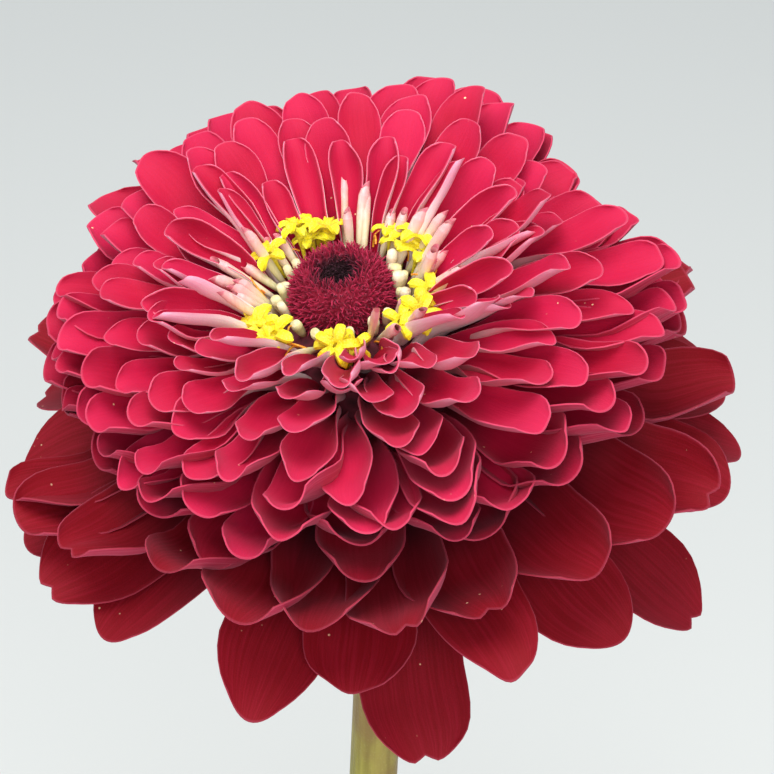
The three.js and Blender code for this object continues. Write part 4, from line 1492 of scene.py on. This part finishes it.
# %% Stigmas
STIGMA_COUNT = 30
STIGMA_RING = 12.8
STIGMA_BASE = RECEPTACLE_TOP + 1.5
STIGMA_LENGTH = 6
STIGMA_RADIUS = 0.2
STIGMA_RINGS = 9
cylinder = {"vertices": 6, "radius": STIGMA_RADIUS * MM}
straight = standing("stigma", bpy.ops.mesh.primitive_cylinder_add, STIGMA_LENGTH * MM, **cylinder)
with editing(straight):
    cut_rings([ring * STIGMA_LENGTH / STIGMA_RINGS * MM for ring in range(1, STIGMA_RINGS)])
smoothed(straight, 60)
threads = []
for k in range(STIGMA_COUNT):
    thread = copy_of(straight)
    deform(thread, "BEND", "Y", 150 + 90 * shake(k, 27))
    root = out_from(k * GOLDEN_TURN * 5, STIGMA_RING + 1.2 * shake(k, 30), STIGMA_BASE)
    lean = leaning(30 + 15 * shake(k, 28), 0, 3 * shake(k, 29))
    size = 0.75 + 0.25 * shake(k, 26)
    thread.data.transform(head_frame @ root @ lean @ Matrix.Scale(size, 4))
    threads.append(thread)
stigmas = joined("stigmas", threads)
discard(straight)

# %% [markdown]
# The lobes are a strong pure yellow, a little darker towards the funnel and dusted with paler grains of
# pollen, which are the middles of tiny cells. The stigmas are orange, with a fine uneven grain.

# %% Floret yellow and stigma orange
yolk = Finish(
    "floret_yellow",
    Roughness=0.5,
    Sheen_Weight=0.1,
    Subsurface_Weight=0.15,
    Subsurface_Radius=(1 * MM, 0.8 * MM, 0.1 * MM),
)
tint, along = yolk.attributes("tint", "along")
fuzz = yolk.cells(yolk.object_place(), 2600)
bright = yolk.blend(tint, (0.9, 0.72, 0.004), (0.94, 0.86, 0.01))
shaded = yolk.blend((1 - along.above(0.2, 0.6)) * 0.35, bright, (0.62, 0.42, 0.01))
dusted = yolk.blend((1 - fuzz.above(0.1, 0.5)) * 0.3, shaded, (1.0, 0.9, 0.2))
floret_finish = yolk.finished(Base_Color=dusted, Normal=yolk.bump(fuzz, 0.6, 0.15 * MM))
dressed(disc_florets, floret_finish, "yellow_floret", "disc_florets")

amber = Finish("stigma_orange", Roughness=0.4)
grain = amber.noise(amber.object_place(), 1500, 2)
amber_finish = amber.finished(
    Base_Color=amber.blend(grain.above(0.4, 0.6), (0.75, 0.2, 0.01), (0.9, 0.42, 0.03)),
    Normal=amber.bump(grain, 0.4, 0.1 * MM),
)
dressed(stigmas, amber_finish, "yellow_floret")

# %% [markdown]
# The middle of the disc is a button of unopened florets. All that shows of them is the fringed tips of
# the bracts between, packed like velvet pile, and they leave a hollow in the top, which the finish
# darkens with painted shade. Under them is a plain body, turned from an outline that dips at the axis.

# %% The button's body
HOLLOW_HEIGHT = 6
CONE_OUTLINE = [
    (7.4, 0.3), (7.6, 2.4), (7.4, 4.6), (6.8, 6.3), (5.9, 7.4),
    (4.9, 7.8), (3.9, 7.2), (2.9, 5.8), (1.6, 4.2),
]
body_outline = [(0, -0.5), (7.4, -0.5)]
body_outline += [(radius - 0.5, height - 0.5) for radius, height in CONE_OUTLINE] + [(0, 3.6)]
body_outline = [(radius, height + RECEPTACLE_TOP) for radius, height in body_outline]
button = turned("button", body_outline, steps=40, smooth_angle=80)
button.data.transform(head_frame)
hollow_place = head_frame @ Vector((0, 0, (RECEPTACLE_TOP + HOLLOW_HEIGHT) * MM))

# %% [markdown]
# One tip is a small cone with a bend in it. Six copies make a tuft, and copies of the tuft will cover
# the button, which is much quicker than placing every tip, and at this size looks no different.

# %% A tuft of bract tips
TIP_LENGTH = 1.8
TIP_RADIUS = 0.24
TIP_END_RADIUS = 0.05
TIP_KNEE = 1
TIP_BEND = 0.3
TIPS_IN_TUFT = 6
cone = {"vertices": 4, "radius1": TIP_RADIUS * MM, "radius2": TIP_END_RADIUS * MM}
tip = standing("tip", bpy.ops.mesh.primitive_cone_add, TIP_LENGTH * MM, **cone)
with editing(tip):
    cut_rings([TIP_KNEE * MM])
    pick(lambda co: co.z > 0.94 * TIP_LENGTH * MM)
    bpy.ops.transform.translate(value=(TIP_BEND * MM, 0, 0))
smoothed(tip, 80)
mark(tip, tipward=lambda vertex: vertex.co.z / MM / TIP_LENGTH)
parts = []
for k in range(TIPS_IN_TUFT):
    lean = leaning(math.degrees(0.25 + 0.2 * shake(k, 91)), 0, 2 * shake(k, 92))
    place = out_from(k * GOLDEN_TURN, 0.28 * math.sqrt(k + 0.5), 0.25 * shake(k, 93))
    parts.append(copy_of(tip, place @ lean @ Matrix.Scale(0.9 + 0.2 * shake(k, 94), 4)))
    mark(parts[-1], own=0.3 * shake(k, 90))
tuft = joined("tuft", parts)
discard(tip)

# %% [markdown]
# Each leg of the outline sweeps a band round the button. The tufts are shared out by the area of these
# bands, or they would crowd where the button is narrow, and they follow a golden spiral over its brow
# and down into the hollow. Each tuft leans with the surface below it.

# %% Tufts over the button
TUFT_COUNT = 400
legs = [Vector(b) - Vector(a) for a, b in zip(CONE_OUTLINE, CONE_OUTLINE[1:])]
areas = [(a[0] + b[0]) / 2 * leg.length for a, b, leg in zip(CONE_OUTLINE, CONE_OUTLINE[1:], legs)]
tufts = []
for k in range(TUFT_COUNT):
    goal = (k + 0.5) / TUFT_COUNT * sum(areas)
    leg_index = 0
    while goal > areas[leg_index]:
        goal -= areas[leg_index]
        leg_index += 1
    leg = legs[leg_index]
    radius, height = Vector(CONE_OUTLINE[leg_index]) + leg * (goal / areas[leg_index])
    outward = math.atan2(leg.y, -leg.x)
    tilt = mix(outward, 0, 0.3) + 0.15 * shake(k, 95)
    turn = k * GOLDEN_TURN + 0.1 * shake(k, 96)
    root = out_from(turn, radius - 0.6, RECEPTACLE_TOP + height - 0.7)
    lean = leaning(math.degrees(tilt), 0.2 * shake(k, 97), 3.1 * shake(k, 98))
    size = mix(0.65, 0.9, ease(radius, 2, 4.5)) * (1 + 0.15 * shake(k, 99))
    piece = copy_of(tuft, head_frame @ root @ lean @ Matrix.Scale(size, 4))
    # hollow marks how near a tuft is to the axis, where the finish paints shade into the hollow.
    mark(piece, tint=share_of(k, 89), hollow=1 - ease(radius, 2.4, 6.2))
    tufts.append(piece)
# The body is marked the same way, by its distance from the bottom of the hollow, for the painted shade.
mark(button, hollow=lambda vertex: 1 - ease((vertex.co - hollow_place).length / MM, 1.5, 6))
mark(button, tipward=0, tint=0.3, own=0)
disc_cone = joined("velvet_button", [button] + tufts)
discard(tuft)

# %% [markdown]
# The button is a crimson near to black, with painted light on the tips of its pile. Its vertices know how
# far up a tip they are and how deep in the hollow, so one finish has the painted highlight on the tips
# and the painted shade in the middle.

# %% Dark velvet
pile = Finish(
    "button_pile",
    Roughness=0.75,
    Specular_IOR_Level=0.25,
    Sheen_Weight=0.3,
    Sheen_Roughness=0.4,
    Sheen_Tint=(1.0, 0.4, 0.6),
)
tipward, tint, own, hollow = pile.attributes("tipward", "tint", "own", "hollow")
fringe = pile.noise(pile.object_place(), 1800, 2)
crimson = pile.blend(tint + own, (0.19, 0.004, 0.018), (0.38, 0.008, 0.042))
# Painted light: the upper part of each tip is lighter, as if lit.
lit_tip = pile.blend(tipward.above(0.4, 1.0) * (0.26 + tint * 0.4), crimson, (0.58, 0.03, 0.1))
# Painted shade: towards the middle of the hollow the pile goes nearly black.
dark = pile.blend(hollow.above(0.1, 0.8), lit_tip, (0.014, 0.002, 0.003))
button_finish = pile.finished(Base_Color=dark, Normal=pile.bump(fringe, 0.6, 0.2 * MM))
dressed(disc_cone, button_finish, "dark_disc", "disc_cone")
